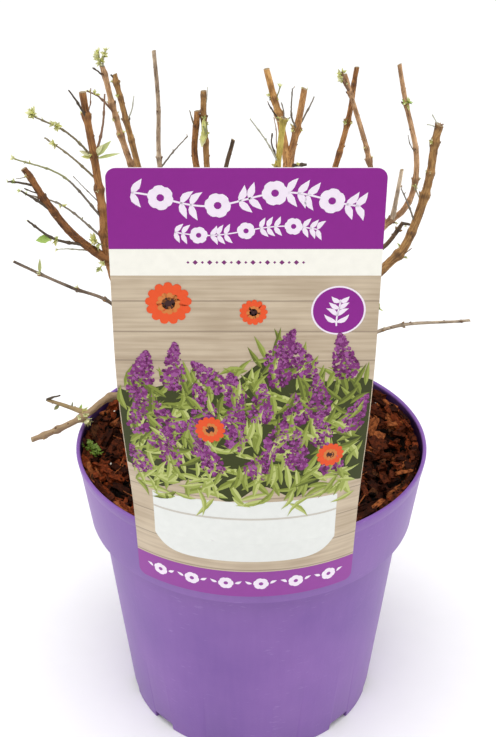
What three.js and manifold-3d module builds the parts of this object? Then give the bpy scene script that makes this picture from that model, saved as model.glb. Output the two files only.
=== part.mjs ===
// A butterfly bush, cut back hard and coming into leaf, in a round grower's pot with a
// hang-over plant label. Millimetres, +Z up. The origin is the middle of the pot's underside,
// and the label hangs on the -Y side.

import * as THREE from "three";
import { mergeVertices } from "three/addons/utils/BufferGeometryUtils.js";
import Module from "manifold-3d";

const wasm = await Module();
wasm.setup();

const GAP = 0.3; // clearance between neighbouring pieces
const SEED = 20260;

// Pot: a 22 cm round grower's pot with a deep collar
const RIM_RADIUS = 110;
const POT_HEIGHT = 190;
const COLLAR_HEIGHT = 49;
const COLLAR_FOOT_RADIUS = 103.4;
const BODY_TOP_RADIUS = 96.8;
const FOOT_RADIUS = 82;
const WALL = 1.6;
const RIM_THICK = 2.4;
const FLOOR = 3;
const POT_SIDES = 48;
const FOOT_NOTCHES = 12;
const NOTCH_WIDTH = 17;
const NOTCH_DEPTH = 12;
const NOTCH_HEIGHT = 6;

// Growing medium, with bark chips on top
const SOIL_TOP = 179;
const CHIPS = 44;
const CHIP_LENGTH = [14, 30];
const CHIP_WIDTH = [9, 17];
const CHIP_THICK = [4, 7];
const CHIP_TILT = 0.35;

// Hang-over label
const LABEL_WIDTH = 132;
const LABEL_THICK = 0.8;
const LABEL_FOOT = 148;
const LABEL_HEAD = 408;
const LABEL_CORNER = 5;
const LABEL_SIDE = [-4.8, -2.8]; // place of its middle across the pot, at its foot and head
const LABEL_COLUMNS = 12;
const LABEL_FLAT_FROM = 330; // above this height the label hangs flat
const TONGUE_WIDTH = 44;
const TONGUE_FOOT = 152;
const HOOK_THICK = 1.2;

// Woody crown that the stems spring from
const CROWN_RADIUS = 21;
const CROWN_HEIGHT = 27;
const CROWN_LOBES = 5;
const CROWN_SIDES = 20;
const STEM_CIRCLE = 9; // the stems start on this circle inside the crown
const STEM_START = 12; // and at this height above its flat cut

// Stems and twigs: sides of the section, spacing of the swollen leaf joints, half length of
// a joint's swelling (none where one ring makes it), and how much it swells
const STEM = { sides: 6, internode: 30, flank: 2, swell: 1.28 };
const TWIG = { sides: 3, internode: 13, flank: 0, swell: 1.15 };
const LEAFY_RADII = [1.15, 0.65];
const DRY_RADII = [0.95, 0.5];
const TWIGLET_RADII = [0.55, 0.4];
const TWIGLET_REACH = 0.7; // length of a bare twiglet beside a leaf's
const LEAF_LENGTH = [4.5, 8.5];
const LEAF_SLENDERNESS = 0.38;
const LEAF_THICKNESS = 0.08;
const LEAF_SUNK = 1.3;

const violet = new THREE.MeshStandardMaterial({ color: 0x8a64b4, roughness: 0.5, metalness: 0 });
const bark = new THREE.MeshStandardMaterial({ color: 0x5a3222, roughness: 0.95, metalness: 0 });
const card = new THREE.MeshStandardMaterial({ color: 0x93329a, roughness: 0.4, metalness: 0 });
const wood = new THREE.MeshStandardMaterial({ color: 0xa06a42, roughness: 0.85, metalness: 0 });
const leafGreen = new THREE.MeshStandardMaterial({ color: 0x8fae5c, roughness: 0.7, metalness: 0 });
const dryTwig = new THREE.MeshStandardMaterial({ color: 0x7d6b5c, roughness: 0.9, metalness: 0 });

// Main stems, each one tapering limb: where it springs from (the crown, or a height on an
// earlier stem), the points that it bows through, its cut tip, and its first and last radius.
const STEMS = [
  {
    name: "stem_centre",
    bows: [[12, 7, 270], [20, 10, 340]],
    tip: [21, 10, 373],
    radii: [4.5, 3.2],
  },
  {
    name: "stem_left",
    bows: [[-56, 0, 238], [-77, 0, 287], [-84.4, 0, 318], [-85, 0, 345]],
    tip: [-92, 0, 411],
    radii: [3.4, 1.9],
  },
  {
    name: "stem_right",
    bows: [[48, -1, 268], [79, -1, 309], [88, 0, 319], [97, 0, 345]],
    tip: [103, 0, 393],
    radii: [3.5, 2.1],
  },
  {
    name: "stem_left_back",
    bows: [[-46, 34, 285], [-74, 45, 360]],
    tip: [-86, 45, 413],
    radii: [2.8, 1.5],
  },
  {
    name: "stem_right_mid",
    bows: [[56, 24, 288], [80, 27, 322], [90.5, 28, 331.5], [97, 30, 351]],
    tip: [83, 30, 418],
    radii: [2.7, 1.2],
  },
  {
    name: "stem_right_back",
    bows: [[33, 36, 290], [58, 50, 381]],
    tip: [61, 50, 411],
    radii: [2.8, 1.4],
  },
  {
    name: "stem_back",
    bows: [[-17, 36, 270], [-27, 50, 345]],
    tip: [-28, 50, 397],
    radii: [2.8, 1.6],
  },
  {
    name: "stem_front_left",
    bows: [[-28, -46, 270], [-45, -66, 330]],
    tip: [-52, -76, 374],
    radii: [3.2, 1.8],
  },
  {
    name: "stem_front_right",
    bows: [[26, -44, 275], [38, -64, 335]],
    tip: [44, -74, 378],
    radii: [3.2, 1.8],
  },
  {
    name: "stem_low_left",
    start: -7,
    bows: [[-52, 22, 197], [-88, 21, 207], [-107, 8, 199]],
    tip: [-137, -9, 193],
    radii: [3.2, 1.6],
  },
  {
    name: "bough_centre_left",
    on: "stem_centre",
    at: 366,
    bows: [[15, 10, 395]],
    tip: [8, 10, 421],
    radii: [2.2, 1.6],
  },
  {
    name: "bough_centre_right",
    on: "stem_centre",
    at: 366,
    bows: [[26, 10, 390]],
    tip: [29, 10, 410],
    radii: [2.2, 1.6],
  },
  {
    name: "bough_centre_front",
    on: "stem_centre",
    at: 262,
    bows: [[11, -14, 330]],
    tip: [17, -20, 403],
    radii: [2, 1.6],
  },
  {
    name: "bough_left_outer",
    on: "stem_left",
    at: 311,
    bows: [[-104, -9, 334]],
    tip: [-126, -10, 371],
    radii: [2.5, 1.8],
  },
  {
    name: "bough_left_low",
    on: "stem_left",
    at: 232,
    bows: [[-84, 10, 278], [-108, 10, 289]],
    tip: [-141, 10, 306],
    radii: [1.2, 0.8],
  },
  {
    name: "bough_left_inner",
    on: "stem_left_back",
    at: 320,
    bows: [[-67, 36, 356]],
    tip: [-78, 35, 411],
    radii: [2.1, 1.5],
  },
  {
    name: "bough_left_slim",
    on: "stem_left_back",
    at: 270,
    bows: [[-56, 60, 345], [-55.5, 60, 386]],
    tip: [-57, 60, 418],
    radii: [1.8, 1.1],
  },
  {
    name: "bough_back_twin",
    on: "stem_back",
    at: 325,
    bows: [[-34, 51, 355]],
    tip: [-32, 50, 385],
    radii: [2.1, 1.8],
  },
  {
    name: "bough_back_stub",
    on: "stem_back",
    at: 285,
    bows: [[-17, 56, 340]],
    tip: [-11, 60, 364],
    radii: [1.6, 1.2],
  },
  {
    name: "bough_right_cross",
    on: "stem_right_mid",
    at: 322,
    bows: [[67, 36, 368]],
    tip: [53, 35, 411],
    radii: [1.7, 1.2],
  },
  {
    name: "bough_right_stub",
    on: "stem_right_mid",
    at: 326,
    bows: [],
    tip: [86.5, 17, 360.5],
    radii: [1.4, 1],
  },
  {
    name: "bough_right_dark_stub",
    on: "stem_right_mid",
    at: 298,
    bows: [[79, 13, 315]],
    tip: [88, 10, 330.5],
    radii: [1.4, 1.1],
  },
  {
    name: "bough_right_low",
    on: "stem_right",
    at: 222,
    bows: [[78, 20, 254]],
    tip: [135, 20, 262],
    radii: [1.4, 0.8],
  },
  {
    name: "bough_low_upper",
    on: "stem_low_left",
    at: 200,
    bows: [[-119, 18, 201.4]],
    tip: [-131, 22, 203.4],
    radii: [1.6, 1],
  },
  {
    name: "bough_front_middle",
    on: "stem_front_left",
    at: 255,
    bows: [[-10, -66, 300]],
    tip: [-4, -86, 352],
    radii: [2.2, 1.4],
  },
  {
    name: "bough_front_far_right",
    on: "stem_front_right",
    at: 268,
    bows: [[52, -56, 305]],
    tip: [62, -62, 352],
    radii: [2.2, 1.4],
  },
  {
    name: "bough_back_right",
    on: "stem_right_back",
    at: 262,
    bows: [[34, 66, 290]],
    tip: [42, 88, 328],
    radii: [2.2, 1.4],
  },
  {
    name: "bough_back_left",
    on: "stem_back",
    at: 250,
    bows: [[-30, 64, 285]],
    tip: [-44, 86, 326],
    radii: [2.2, 1.4],
  },
];

// Twig masses in fresh leaf: the stem that each springs from and the height there, a point
// that it bows through, and its tip.
const LEAFY_SPRAYS = [
  { name: "spray_left_top", on: "stem_left", at: 374, bow: [-101, -8, 391], tip: [-117, -17, 403] },
  { name: "spray_left_upper", on: "stem_left", at: 361, bow: [-103, 9, 372], tip: [-118, 19, 379] },
  { name: "spray_left_middle", on: "stem_left", at: 337, bow: [-104, -16, 369], tip: [-126, -31, 384] },
  { name: "spray_left_back", on: "stem_left", at: 325, bow: [-112, 20, 338], tip: [-134, 29, 341] },
  { name: "spray_left_cross", on: "stem_left_back", at: 385, bow: [-88, 38, 397], tip: [-94, 33, 402] },
  { name: "spray_left_shoot", on: "stem_left", at: 374, bow: [-84, 9, 387], tip: [-82, 17, 405] },
  { name: "spray_left_crest", on: "stem_left_back", at: 412, bow: [-85, 45, 417], tip: [-83, 44, 422] },
  { name: "spray_outer_tip", on: "bough_left_outer", at: 361, bow: [-129, -13, 364], tip: [-134, -17, 366] },
  { name: "spray_outer_low", on: "bough_left_outer", at: 323, bow: [-111, -19, 333], tip: [-123, -29, 348] },
  { name: "spray_centre_front", on: "bough_centre_front", at: 377, bow: [8, -24, 391], tip: [-1, -31, 406] },
  { name: "spray_centre_right", on: "bough_centre_right", at: 386, bow: [31, 14, 396], tip: [35, 18, 403] },
  { name: "spray_right_cross", on: "bough_right_cross", at: 401, bow: [52, 32, 408], tip: [51, 30, 414] },
  { name: "spray_front_left", on: "stem_front_left", at: 345, bow: [-60, -70, 356], tip: [-64, -66, 372] },
  { name: "spray_front_middle", on: "bough_front_middle", at: 322, bow: [4, -84, 332], tip: [14, -90, 344] },
  { name: "spray_front_right", on: "stem_front_right", at: 342, bow: [30, -72, 352], tip: [22, -78, 366] },
  { name: "spray_front_low", on: "bough_front_far_right", at: 300, bow: [60, -70, 308], tip: [66, -84, 322] },
  { name: "spray_back_left", on: "bough_back_left", at: 300, bow: [-48, 72, 312], tip: [-62, 78, 324] },
  { name: "spray_back_right", on: "bough_back_right", at: 302, bow: [50, 74, 312], tip: [64, 80, 322] },
];

// Dry, bare twig masses, given the same way.
const DRY_SPRAYS = [
  { name: "spray_left_dark", on: "stem_left", at: 396, bow: [-94, -5, 406], tip: [-98, -10, 415] },
  { name: "spray_left_thin", on: "stem_left", at: 346, bow: [-95, 8, 352], tip: [-103, 16, 357] },
  { name: "spray_outer_dry", on: "bough_left_outer", at: 345, bow: [-119, -13, 353], tip: [-127, -18, 361] },
  { name: "spray_outer_foot", on: "bough_left_outer", at: 319, bow: [-105, -6, 321], tip: [-113, -4, 320] },
  { name: "spray_inner_dry", on: "bough_left_inner", at: 383, bow: [-69, 33, 391], tip: [-67, 30, 400] },
  { name: "spray_slim_dry", on: "bough_left_slim", at: 346, bow: [-48, 63, 355], tip: [-39, 70, 363] },
  { name: "spray_centre_dark", on: "bough_centre_left", at: 391, bow: [12, 6, 398], tip: [9, 2, 404] },
  { name: "spray_centre_dry", on: "bough_centre_right", at: 387, bow: [22, 4, 396], tip: [22, 0, 413] },
  { name: "spray_right_dry", on: "stem_right", at: 334, bow: [88, -6, 349], tip: [83, -12, 360] },
];

// Repeatable numbers from 0 to 1.
function seeded(seed) {
  let state = seed >>> 0;
  return () => {
    state = (state + 0x6d2b79f5) >>> 0;
    let mixed = Math.imul(state ^ (state >>> 15), state | 1);
    mixed ^= mixed + Math.imul(mixed ^ (mixed >>> 7), mixed | 61);
    return ((mixed ^ (mixed >>> 14)) >>> 0) / 4294967296;
  };
}

function between([low, high], share) {
  return low + (high - low) * share;
}

function vector([x, y, z]) {
  return new THREE.Vector3(x, y, z);
}

// --- Geometry to solid and back ---------------------------------------------------------

// A geometry with shared vertices and no collapsed faces.
function weld(geometry) {
  const bare = geometry.clone();
  bare.deleteAttribute("normal");
  bare.deleteAttribute("uv");
  const merged = mergeVertices(bare, 1e-4);
  const corners = merged.index.array;
  const kept = [];
  for (let i = 0; i < corners.length; i += 3) {
    const [a, b, c] = [corners[i], corners[i + 1], corners[i + 2]];
    if (a !== b && b !== c && c !== a) kept.push(a, b, c);
  }
  merged.setIndex(kept);
  return merged;
}

function solidOf(geometry) {
  const welded = geometry.index && !geometry.getAttribute("normal") ? geometry : weld(geometry);
  return new wasm.Manifold(new wasm.Mesh({
    numProp: 3,
    vertProperties: new Float32Array(welded.getAttribute("position").array),
    triVerts: new Uint32Array(welded.index.array),
  }));
}

function geometryOf(solid) {
  const mesh = solid.getMesh();
  const geometry = new THREE.BufferGeometry();
  geometry.setAttribute("position", new THREE.BufferAttribute(mesh.vertProperties, 3));
  geometry.setIndex(new THREE.BufferAttribute(mesh.triVerts, 1));
  const faceted = geometry.toNonIndexed();
  faceted.computeVertexNormals();
  return faceted;
}

// The biggest closed body of a solid: scraps are dropped and sealed hollows are filled.
function mainBody(solid) {
  const bodies = solid.decompose();
  return bodies.reduce((best, body) => (body.volume() > best.volume() ? body : best));
}

function boxesMeet(a, b) {
  const [p, q] = [a.boundingBox(), b.boundingBox()];
  return [0, 1, 2].every((axis) => p.min[axis] <= q.max[axis] && q.min[axis] <= p.max[axis]);
}

function touches(solid, others) {
  return others.some((other) => boxesMeet(solid, other) && solid.intersect(other).volume() > 1e-6);
}

function cutClear(solid, others) {
  const near = others.filter((other) => boxesMeet(solid, other));
  return mainBody(near.reduce((rest, other) => rest.subtract(other), solid));
}

// --- Pot --------------------------------------------------------------------------------

const COLLAR_FOOT = POT_HEIGHT - COLLAR_HEIGHT;

function collarRadius(z) {
  return between([COLLAR_FOOT_RADIUS, RIM_RADIUS], (z - COLLAR_FOOT) / COLLAR_HEIGHT);
}

function turned(profile, sides) {
  const lathe = new THREE.LatheGeometry(profile.map(([r, z]) => new THREE.Vector2(r, z)), sides);
  return weld(lathe.rotateX(Math.PI / 2));
}

// Half profile of the inside, from the floor's middle up to the rim, moved inwards by a gap.
function insideProfile(gap) {
  return [
    [0, FLOOR + gap],
    [FOOT_RADIUS - WALL - gap, FLOOR + gap],
    [BODY_TOP_RADIUS - WALL - gap, COLLAR_FOOT + WALL + gap],
    [COLLAR_FOOT_RADIUS - WALL - gap, COLLAR_FOOT + WALL + gap],
    [RIM_RADIUS - RIM_THICK - gap, POT_HEIGHT - 1],
  ];
}

function pot() {
  const outside = [
    [0, 0],
    [FOOT_RADIUS - 3, 0],
    [FOOT_RADIUS - 0.8, 0.9],
    [FOOT_RADIUS, 3],
    [BODY_TOP_RADIUS, COLLAR_FOOT],
    [COLLAR_FOOT_RADIUS, COLLAR_FOOT],
    [RIM_RADIUS - 0.5, POT_HEIGHT - 3],
    [RIM_RADIUS, POT_HEIGHT - 1.6],
    [RIM_RADIUS - 0.5, POT_HEIGHT - 0.3],
    [RIM_RADIUS - 1.2, POT_HEIGHT],
    [RIM_RADIUS - RIM_THICK + 0.5, POT_HEIGHT],
  ];
  const shell = solidOf(turned([...outside, ...insideProfile(0).reverse()], POT_SIDES));
  const notches = Array.from({ length: FOOT_NOTCHES }, (_, k) => {
    const notch = new THREE.BoxGeometry(NOTCH_DEPTH, NOTCH_WIDTH, 2 * NOTCH_HEIGHT);
    notch.translate(FOOT_RADIUS, 0, 0);
    return solidOf(notch.rotateZ(((k + 0.5) * 2 * Math.PI) / FOOT_NOTCHES));
  });
  return mainBody(notches.reduce((rest, notch) => rest.subtract(notch), shell));
}

// --- Hang-over label --------------------------------------------------------------------

// A thin upright plate, laid out in rows: each row has a height, a half width, the place of
// its middle across the pot, and a curvature that wraps it round the collar.
function plate(rows, thick, columns) {
  const sheet = new THREE.BoxGeometry(2, 1, rows.length - 1, columns, 1, rows.length - 1);
  const welded = weld(sheet);
  const place = welded.getAttribute("position");
  for (let i = 0; i < place.count; i += 1) {
    const row = rows[Math.round(place.getZ(i) + (rows.length - 1) / 2)];
    const along = row.middle + place.getX(i) * row.half;
    const radius = 1 / Math.max(row.curve, 1e-6) + place.getY(i) * -thick;
    const turn = along * Math.max(row.curve, 1e-6);
    const front = row.y + 1 / Math.max(row.curve, 1e-6);
    place.setXYZ(i, radius * Math.sin(turn), front - radius * Math.cos(turn), row.z);
  }
  return solidOf(welded);
}

function labelRows() {
  const corner = [0, 0.3, 0.7].map((share) => LABEL_CORNER * share);
  const rounded = corner.map((rise) => {
    const reach = Math.sqrt(1 - (1 - rise / LABEL_CORNER) ** 2);
    return LABEL_CORNER * (1 - reach);
  });
  const onCollar = [0, 0.5].map((share) => between([LABEL_FOOT + LABEL_CORNER, POT_HEIGHT], share));
  const steps = 7;
  const free = Array.from({ length: steps + 1 }, (_, k) => {
    return between([POT_HEIGHT, LABEL_HEAD - LABEL_CORNER], k / steps);
  });
  const heights = [
    ...corner.map((rise, k) => [LABEL_FOOT + rise, rounded[k]]),
    ...[...onCollar, ...free].map((z) => [z, 0]),
    ...corner.map((rise, k) => [LABEL_HEAD - rise, rounded[k]]).reverse(),
  ];
  return heights.map(([z, pinch]) => {
    const y = -(collarRadius(Math.min(z, POT_HEIGHT)) + GAP + LABEL_THICK / 2);
    const flat = THREE.MathUtils.smoothstep(z, POT_HEIGHT - 10, LABEL_FLAT_FROM);
    const middle = between(LABEL_SIDE, (z - LABEL_FOOT) / (LABEL_HEAD - LABEL_FOOT));
    return { z, y, half: LABEL_WIDTH / 2 - pinch, middle, curve: (1 - flat) / -y };
  });
}

// The die-cut tongue goes down inside the wall, and the hook over the rim carries the label.
function tongue(grow) {
  const rows = [TONGUE_FOOT - grow, 165, 178, POT_HEIGHT + GAP + HOOK_THICK].map((z) => {
    const wall = (collarRadius(Math.min(z, POT_HEIGHT)) - RIM_THICK) * Math.cos(Math.PI / POT_SIDES);
    const y = -Math.sqrt(wall ** 2 - (TONGUE_WIDTH / 2) ** 2) + GAP + LABEL_THICK / 2;
    return { z, y, half: TONGUE_WIDTH / 2 + grow, middle: 0, curve: 0 };
  });
  return plate(rows, LABEL_THICK + 2 * grow, 1);
}

function hook() {
  const out = RIM_RADIUS + GAP + LABEL_THICK / 2;
  const inside = Math.sqrt((RIM_RADIUS - RIM_THICK) ** 2 - (TONGUE_WIDTH / 2) ** 2) - 1.5;
  const bar = new THREE.BoxGeometry(TONGUE_WIDTH, out - inside, HOOK_THICK);
  bar.translate(0, -(out + inside) / 2, POT_HEIGHT + GAP + HOOK_THICK / 2);
  return solidOf(bar);
}

// --- Growing medium ---------------------------------------------------------------------

function soil(clearOf) {
  const random = seeded(SEED);
  const inside = insideProfile(GAP);
  const rim = [0, POT_HEIGHT - 1];
  const hollow = solidOf(turned([...inside, rim], POT_SIDES));
  const slab = new THREE.CylinderGeometry(RIM_RADIUS + 9, RIM_RADIUS + 9, SOIL_TOP, POT_SIDES);
  let ground = solidOf(slab.rotateX(Math.PI / 2).translate(0, 0, SOIL_TOP / 2));
  for (let k = 0; k < CHIPS; k += 1) {
    const size = [CHIP_LENGTH, CHIP_WIDTH, CHIP_THICK].map((range) => between(range, random()));
    const chip = new THREE.BoxGeometry(...size);
    chip.rotateX((random() - 0.5) * CHIP_TILT).rotateY((random() - 0.5) * CHIP_TILT);
    chip.rotateZ(random() * Math.PI);
    const reach = (RIM_RADIUS - 6) * Math.sqrt((k + 0.5) / CHIPS);
    const turn = k * 2.4;
    chip.translate(reach * Math.cos(turn), reach * Math.sin(turn), SOIL_TOP + 4 * random());
    ground = ground.add(solidOf(chip));
  }
  return cutClear(ground.intersect(hollow), clearOf);
}

// --- Crown, stems and twigs -------------------------------------------------------------

const CROWN_FOOT = SOIL_TOP + GAP;

// A lumpy woody stool that flares at its flat cut.
function crown(grow) {
  const shares = [[1, 0], [0.94, 0.15], [0.78, 0.45], [0.66, 0.75], [0.42, 0.97]];
  const profile = [
    [0, -grow],
    ...shares.map(([r, z]) => [CROWN_RADIUS * r + grow, CROWN_HEIGHT * z - (z ? 0 : grow)]),
    [0, CROWN_HEIGHT + grow],
  ];
  const stool = turned(profile, CROWN_SIDES);
  const place = stool.getAttribute("position");
  for (let i = 0; i < place.count; i += 1) {
    const [x, y, z] = [place.getX(i), place.getY(i), place.getZ(i)];
    const lobe = 1 + 0.13 * Math.cos(CROWN_LOBES * Math.atan2(y, x)) * (1 - z / CROWN_HEIGHT);
    place.setXYZ(i, x * lobe, y * lobe, z + CROWN_FOOT);
  }
  return solidOf(stool);
}

// Heights of a limb's rings and its radius there: a taper with a swollen joint every so often.
function limbProfile(length, [thick, thin], { internode, flank, swell }) {
  const rings = [0];
  for (let joint = internode; joint < length - internode / 2; joint += internode) {
    if (flank) rings.push(joint - flank, joint, joint + flank);
    else rings.push(joint);
  }
  rings.push(length);
  return rings.map((at) => {
    const swollen = at > 0 && at < length && at % internode === 0;
    return [between([thick, thin], at / length) * (swollen ? swell : 1), at];
  });
}

// A turned limb, laid along a route. Its profile has whole millimetres, one for each frame.
function limb(route, radii, kind, grow) {
  const length = Math.round(route.getLength());
  const rings = limbProfile(length, radii, kind);
  const profile = [[0, 0], ...rings.map(([r, at]) => [r + grow, at]), [0, length]];
  const points = profile.map(([r, at]) => new THREE.Vector2(r, at));
  const bent = weld(new THREE.LatheGeometry(points, kind.sides));
  const place = bent.getAttribute("position");
  const frames = route.computeFrenetFrames(length);
  for (let i = 0; i < place.count; i += 1) {
    const at = Math.round(place.getY(i));
    const end = at === 0 ? -grow : at === length ? grow : 0;
    const point = route.getPointAt(at / length)
      .addScaledVector(frames.tangents[at], end)
      .addScaledVector(frames.normals[at], place.getX(i))
      .addScaledVector(frames.binormals[at], -place.getZ(i));
    place.setXYZ(i, point.x, point.y, point.z);
  }
  return solidOf(bent);
}

function routeThrough(points) {
  return new THREE.CatmullRomCurve3(points, false, "centripetal");
}

// The point of a route at a height, looked for from its tip.
function pointAtHeight(route, height) {
  const steps = 200;
  const above = Math.sign(route.getPointAt(1).z - height) || 1;
  for (let k = steps; k >= 0; k -= 1) {
    const point = route.getPointAt(k / steps);
    if ((point.z - height) * above <= 0) return point;
  }
  return route.getPointAt(0.5);
}

// Stems start inside the crown, on the side that they lean to.
function crownStart(stem) {
  const lean = vector(stem.bows[0]).setZ(0);
  const circle = Math.min(STEM_CIRCLE, lean.length() / 3);
  return lean.setLength(circle).setZ(CROWN_FOOT + STEM_START + (stem.start ?? 0));
}

function stemRoute(stem, routes) {
  const start = stem.on ? pointAtHeight(routes.get(stem.on), stem.at) : crownStart(stem);
  return routeThrough([start, ...stem.bows.map(vector), vector(stem.tip)]);
}

// A small lance leaf of eight faces, its root sunk in the twig.
function leaf(root, direction, flat, length) {
  const blade = new THREE.OctahedronGeometry(0.5);
  blade.scale(length, length * LEAF_SLENDERNESS, length * LEAF_THICKNESS);
  blade.translate(length / 2 - LEAF_SUNK, 0, 0);
  const across = new THREE.Vector3().crossVectors(flat, direction).normalize();
  const up = new THREE.Vector3().crossVectors(direction, across).normalize();
  const frame = new THREE.Matrix4().makeBasis(direction, across, up).setPosition(root);
  return solidOf(blade.applyMatrix4(frame));
}

// A short bare side twig of a dry mass.
function twiglet(root, direction, length) {
  const end = root.clone().addScaledVector(direction, length * TWIGLET_REACH);
  return limb(routeThrough([root, end]), TWIGLET_RADII, TWIG, 0);
}

// Where a mass may grow: at each joint, and at its tip, a pair of opposite sides, each pair
// turned a quarter from the last.
function growingPoints(route, random) {
  const length = route.getLength();
  const joints = Math.floor((length - 4) / TWIG.internode);
  const points = [];
  for (let k = 1; k <= joints + 1; k += 1) {
    const share = k > joints ? 0.985 : (k * TWIG.internode) / length;
    const along = route.getTangentAt(share);
    const side = new THREE.Vector3(0, 0, 1).cross(along).normalize();
    side.applyAxisAngle(along, (k % 2) * (Math.PI / 2) + random() * 0.6);
    for (const hand of [1, -1]) {
      const lean = between([0.7, 1.3], random());
      const direction = side.clone().multiplyScalar(hand).addScaledVector(along, lean).normalize();
      const size = between(LEAF_LENGTH, random());
      points.push({ root: route.getPointAt(share), direction, along, size, hand });
    }
  }
  return points;
}

// One mass: a twig that carries leaves at every growing point when fresh, or a bare twiglet
// on one side when dry. What would touch a stem or another mass is left out.
function spray(spec, leafy, taken, random) {
  const start = pointAtHeight(routes.get(spec.on), spec.at);
  const route = routeThrough([start, vector(spec.bow), vector(spec.tip)]);
  let mass = cutClear(limb(route, leafy ? LEAFY_RADII : DRY_RADII, TWIG, 0), taken);
  for (const { root, direction, along, size, hand } of growingPoints(route, random)) {
    if (!leafy && hand < 0) continue;
    const growth = leafy ? leaf(root, direction, along, size) : twiglet(root, direction, size);
    if (!touches(growth, taken)) mass = mass.add(growth);
  }
  return mainBody(mass);
}

// --- Assembly ---------------------------------------------------------------------------

const bush = new THREE.Group();
bush.name = "butterfly_bush";

function place(name, solid, material) {
  const mesh = new THREE.Mesh(geometryOf(solid), material);
  mesh.name = name;
  bush.add(mesh);
}

const routes = new Map();
const taken = [crown(GAP)];

place("pot", pot(), violet);
place("root_crown", crown(0), wood);

for (const stem of STEMS) {
  const route = stemRoute(stem, routes);
  routes.set(stem.name, route);
  place(stem.name, cutClear(limb(route, stem.radii, STEM, 0), taken), wood);
  taken.push(limb(route, stem.radii, STEM, GAP));
}

place("soil", soil([...taken, tongue(GAP)]), bark);
place("label", plate(labelRows(), LABEL_THICK, LABEL_COLUMNS).add(hook()).add(tongue(0)), card);

[LEAFY_SPRAYS, DRY_SPRAYS].forEach((sprays, kind) => {
  const leafy = kind === 0;
  sprays.forEach((spec, index) => {
    const random = seeded(SEED + 100 * kind + index + 1);
    const mass = spray(spec, leafy, taken, random);
    place(spec.name, mass, leafy ? leafGreen : dryTwig);
    taken.push(mass);
  });
});

export default bush;
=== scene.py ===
"""A cut-back butterfly bush coming into leaf, in a violet grower's pot with a hang-over label.

Metres, +Z up, the origin in the middle of the pot's underside. The growth rule of the bush and
the sizes of its pot are those of the part's source, carried here to bark, buds and fine leaves.
"""

import logging
import math
from dataclasses import dataclass, field
from enum import Enum
from typing import Callable, Iterable, Sequence

import bpy
import numpy as np
from mathutils import Matrix, Vector


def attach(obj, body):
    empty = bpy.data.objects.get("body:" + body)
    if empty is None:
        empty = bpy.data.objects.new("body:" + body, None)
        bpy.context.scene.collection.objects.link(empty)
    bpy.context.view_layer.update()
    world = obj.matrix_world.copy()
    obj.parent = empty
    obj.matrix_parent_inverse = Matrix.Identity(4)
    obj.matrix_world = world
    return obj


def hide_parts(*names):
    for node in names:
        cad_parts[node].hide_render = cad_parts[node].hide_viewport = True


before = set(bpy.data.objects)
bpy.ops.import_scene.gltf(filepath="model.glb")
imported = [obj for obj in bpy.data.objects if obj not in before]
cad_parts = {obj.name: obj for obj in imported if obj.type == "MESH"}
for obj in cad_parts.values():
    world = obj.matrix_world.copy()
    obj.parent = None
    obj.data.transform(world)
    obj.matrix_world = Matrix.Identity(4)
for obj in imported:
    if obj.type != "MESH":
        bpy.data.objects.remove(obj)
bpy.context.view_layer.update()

LOG = logging.getLogger("butterfly_bush")
MM = 0.001
SEED = 20260
BODY = "root"
UP = np.array([0.0, 0.0, 1.0])
MASK = 0xFFFFFFFF
GOLDEN_TURN = 2.39996

Colour = tuple[float, float, float, float]
Point = tuple[float, float, float]
Pair = tuple[float, float]
Piece = bpy.types.Object
Socket = bpy.types.NodeSocket


def rgb(red: int, green: int, blue: int) -> Colour:
    """Turns a colour of 0 to 255 a channel into Blender's linear numbers.

    Args:
        red, green, blue: The display values.

    Returns:
        The linear colour, opaque.
    """
    def linear(value: int) -> float:
        """Undoes the display curve of one channel."""
        share = value / 255
        return share / 12.92 if share <= 0.04045 else ((share + 0.055) / 1.055) ** 2.4

    return (linear(red), linear(green), linear(blue), 1.0)


def shade(colour: Colour, factor: float) -> Colour:
    """Returns a colour made lighter or darker by a factor."""
    return (*(min(1.0, channel * factor) for channel in colour[:3]), 1.0)


def between(low: float, high: float, share: float) -> float:
    """Returns the value a share of the way from low to high."""
    return low + (high - low) * share


def unit(vector: np.ndarray) -> np.ndarray:
    """Returns a vector at length one."""
    return vector / max(float(np.linalg.norm(vector)), 1e-12)


def turned_about(vector: np.ndarray, axis: np.ndarray, angle: float) -> np.ndarray:
    """Turns a vector about a unit axis by an angle in radians."""
    cosine, sine = math.cos(angle), math.sin(angle)
    return vector * cosine + np.cross(axis, vector) * sine + axis * float(axis @ vector) * (1 - cosine)


def around(count: int, start: float = 0.0) -> np.ndarray:
    """Returns unit directions spread evenly round a circle."""
    turns = start + np.arange(count) * 2 * math.pi / count
    return np.stack([np.cos(turns), np.sin(turns)], axis=1)


def heading(angle: float) -> tuple[np.ndarray, np.ndarray]:
    """Returns the direction at an angle from level, and the one to its left."""
    along = np.array([math.cos(angle), math.sin(angle)])
    return along, np.array([-along[1], along[0]])


def seeded(seed: int) -> Callable[[], float]:
    """Makes the repeatable numbers of the part's source.

    Args:
        seed: Where the row of numbers starts.

    Returns:
        A function that gives the next number, from 0 to 1.
    """
    state = seed & MASK

    def number() -> float:
        """Gives the next number."""
        nonlocal state
        state = (state + 0x6D2B79F5) & MASK
        mixed = ((state ^ (state >> 15)) * (state | 1)) & MASK
        mixed ^= (mixed + (((mixed ^ (mixed >> 7)) * (mixed | 61)) & MASK)) & MASK
        return ((mixed ^ (mixed >> 14)) & MASK) / (MASK + 1)

    return number


# --- Shader building --------------------------------------------------------------------


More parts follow.
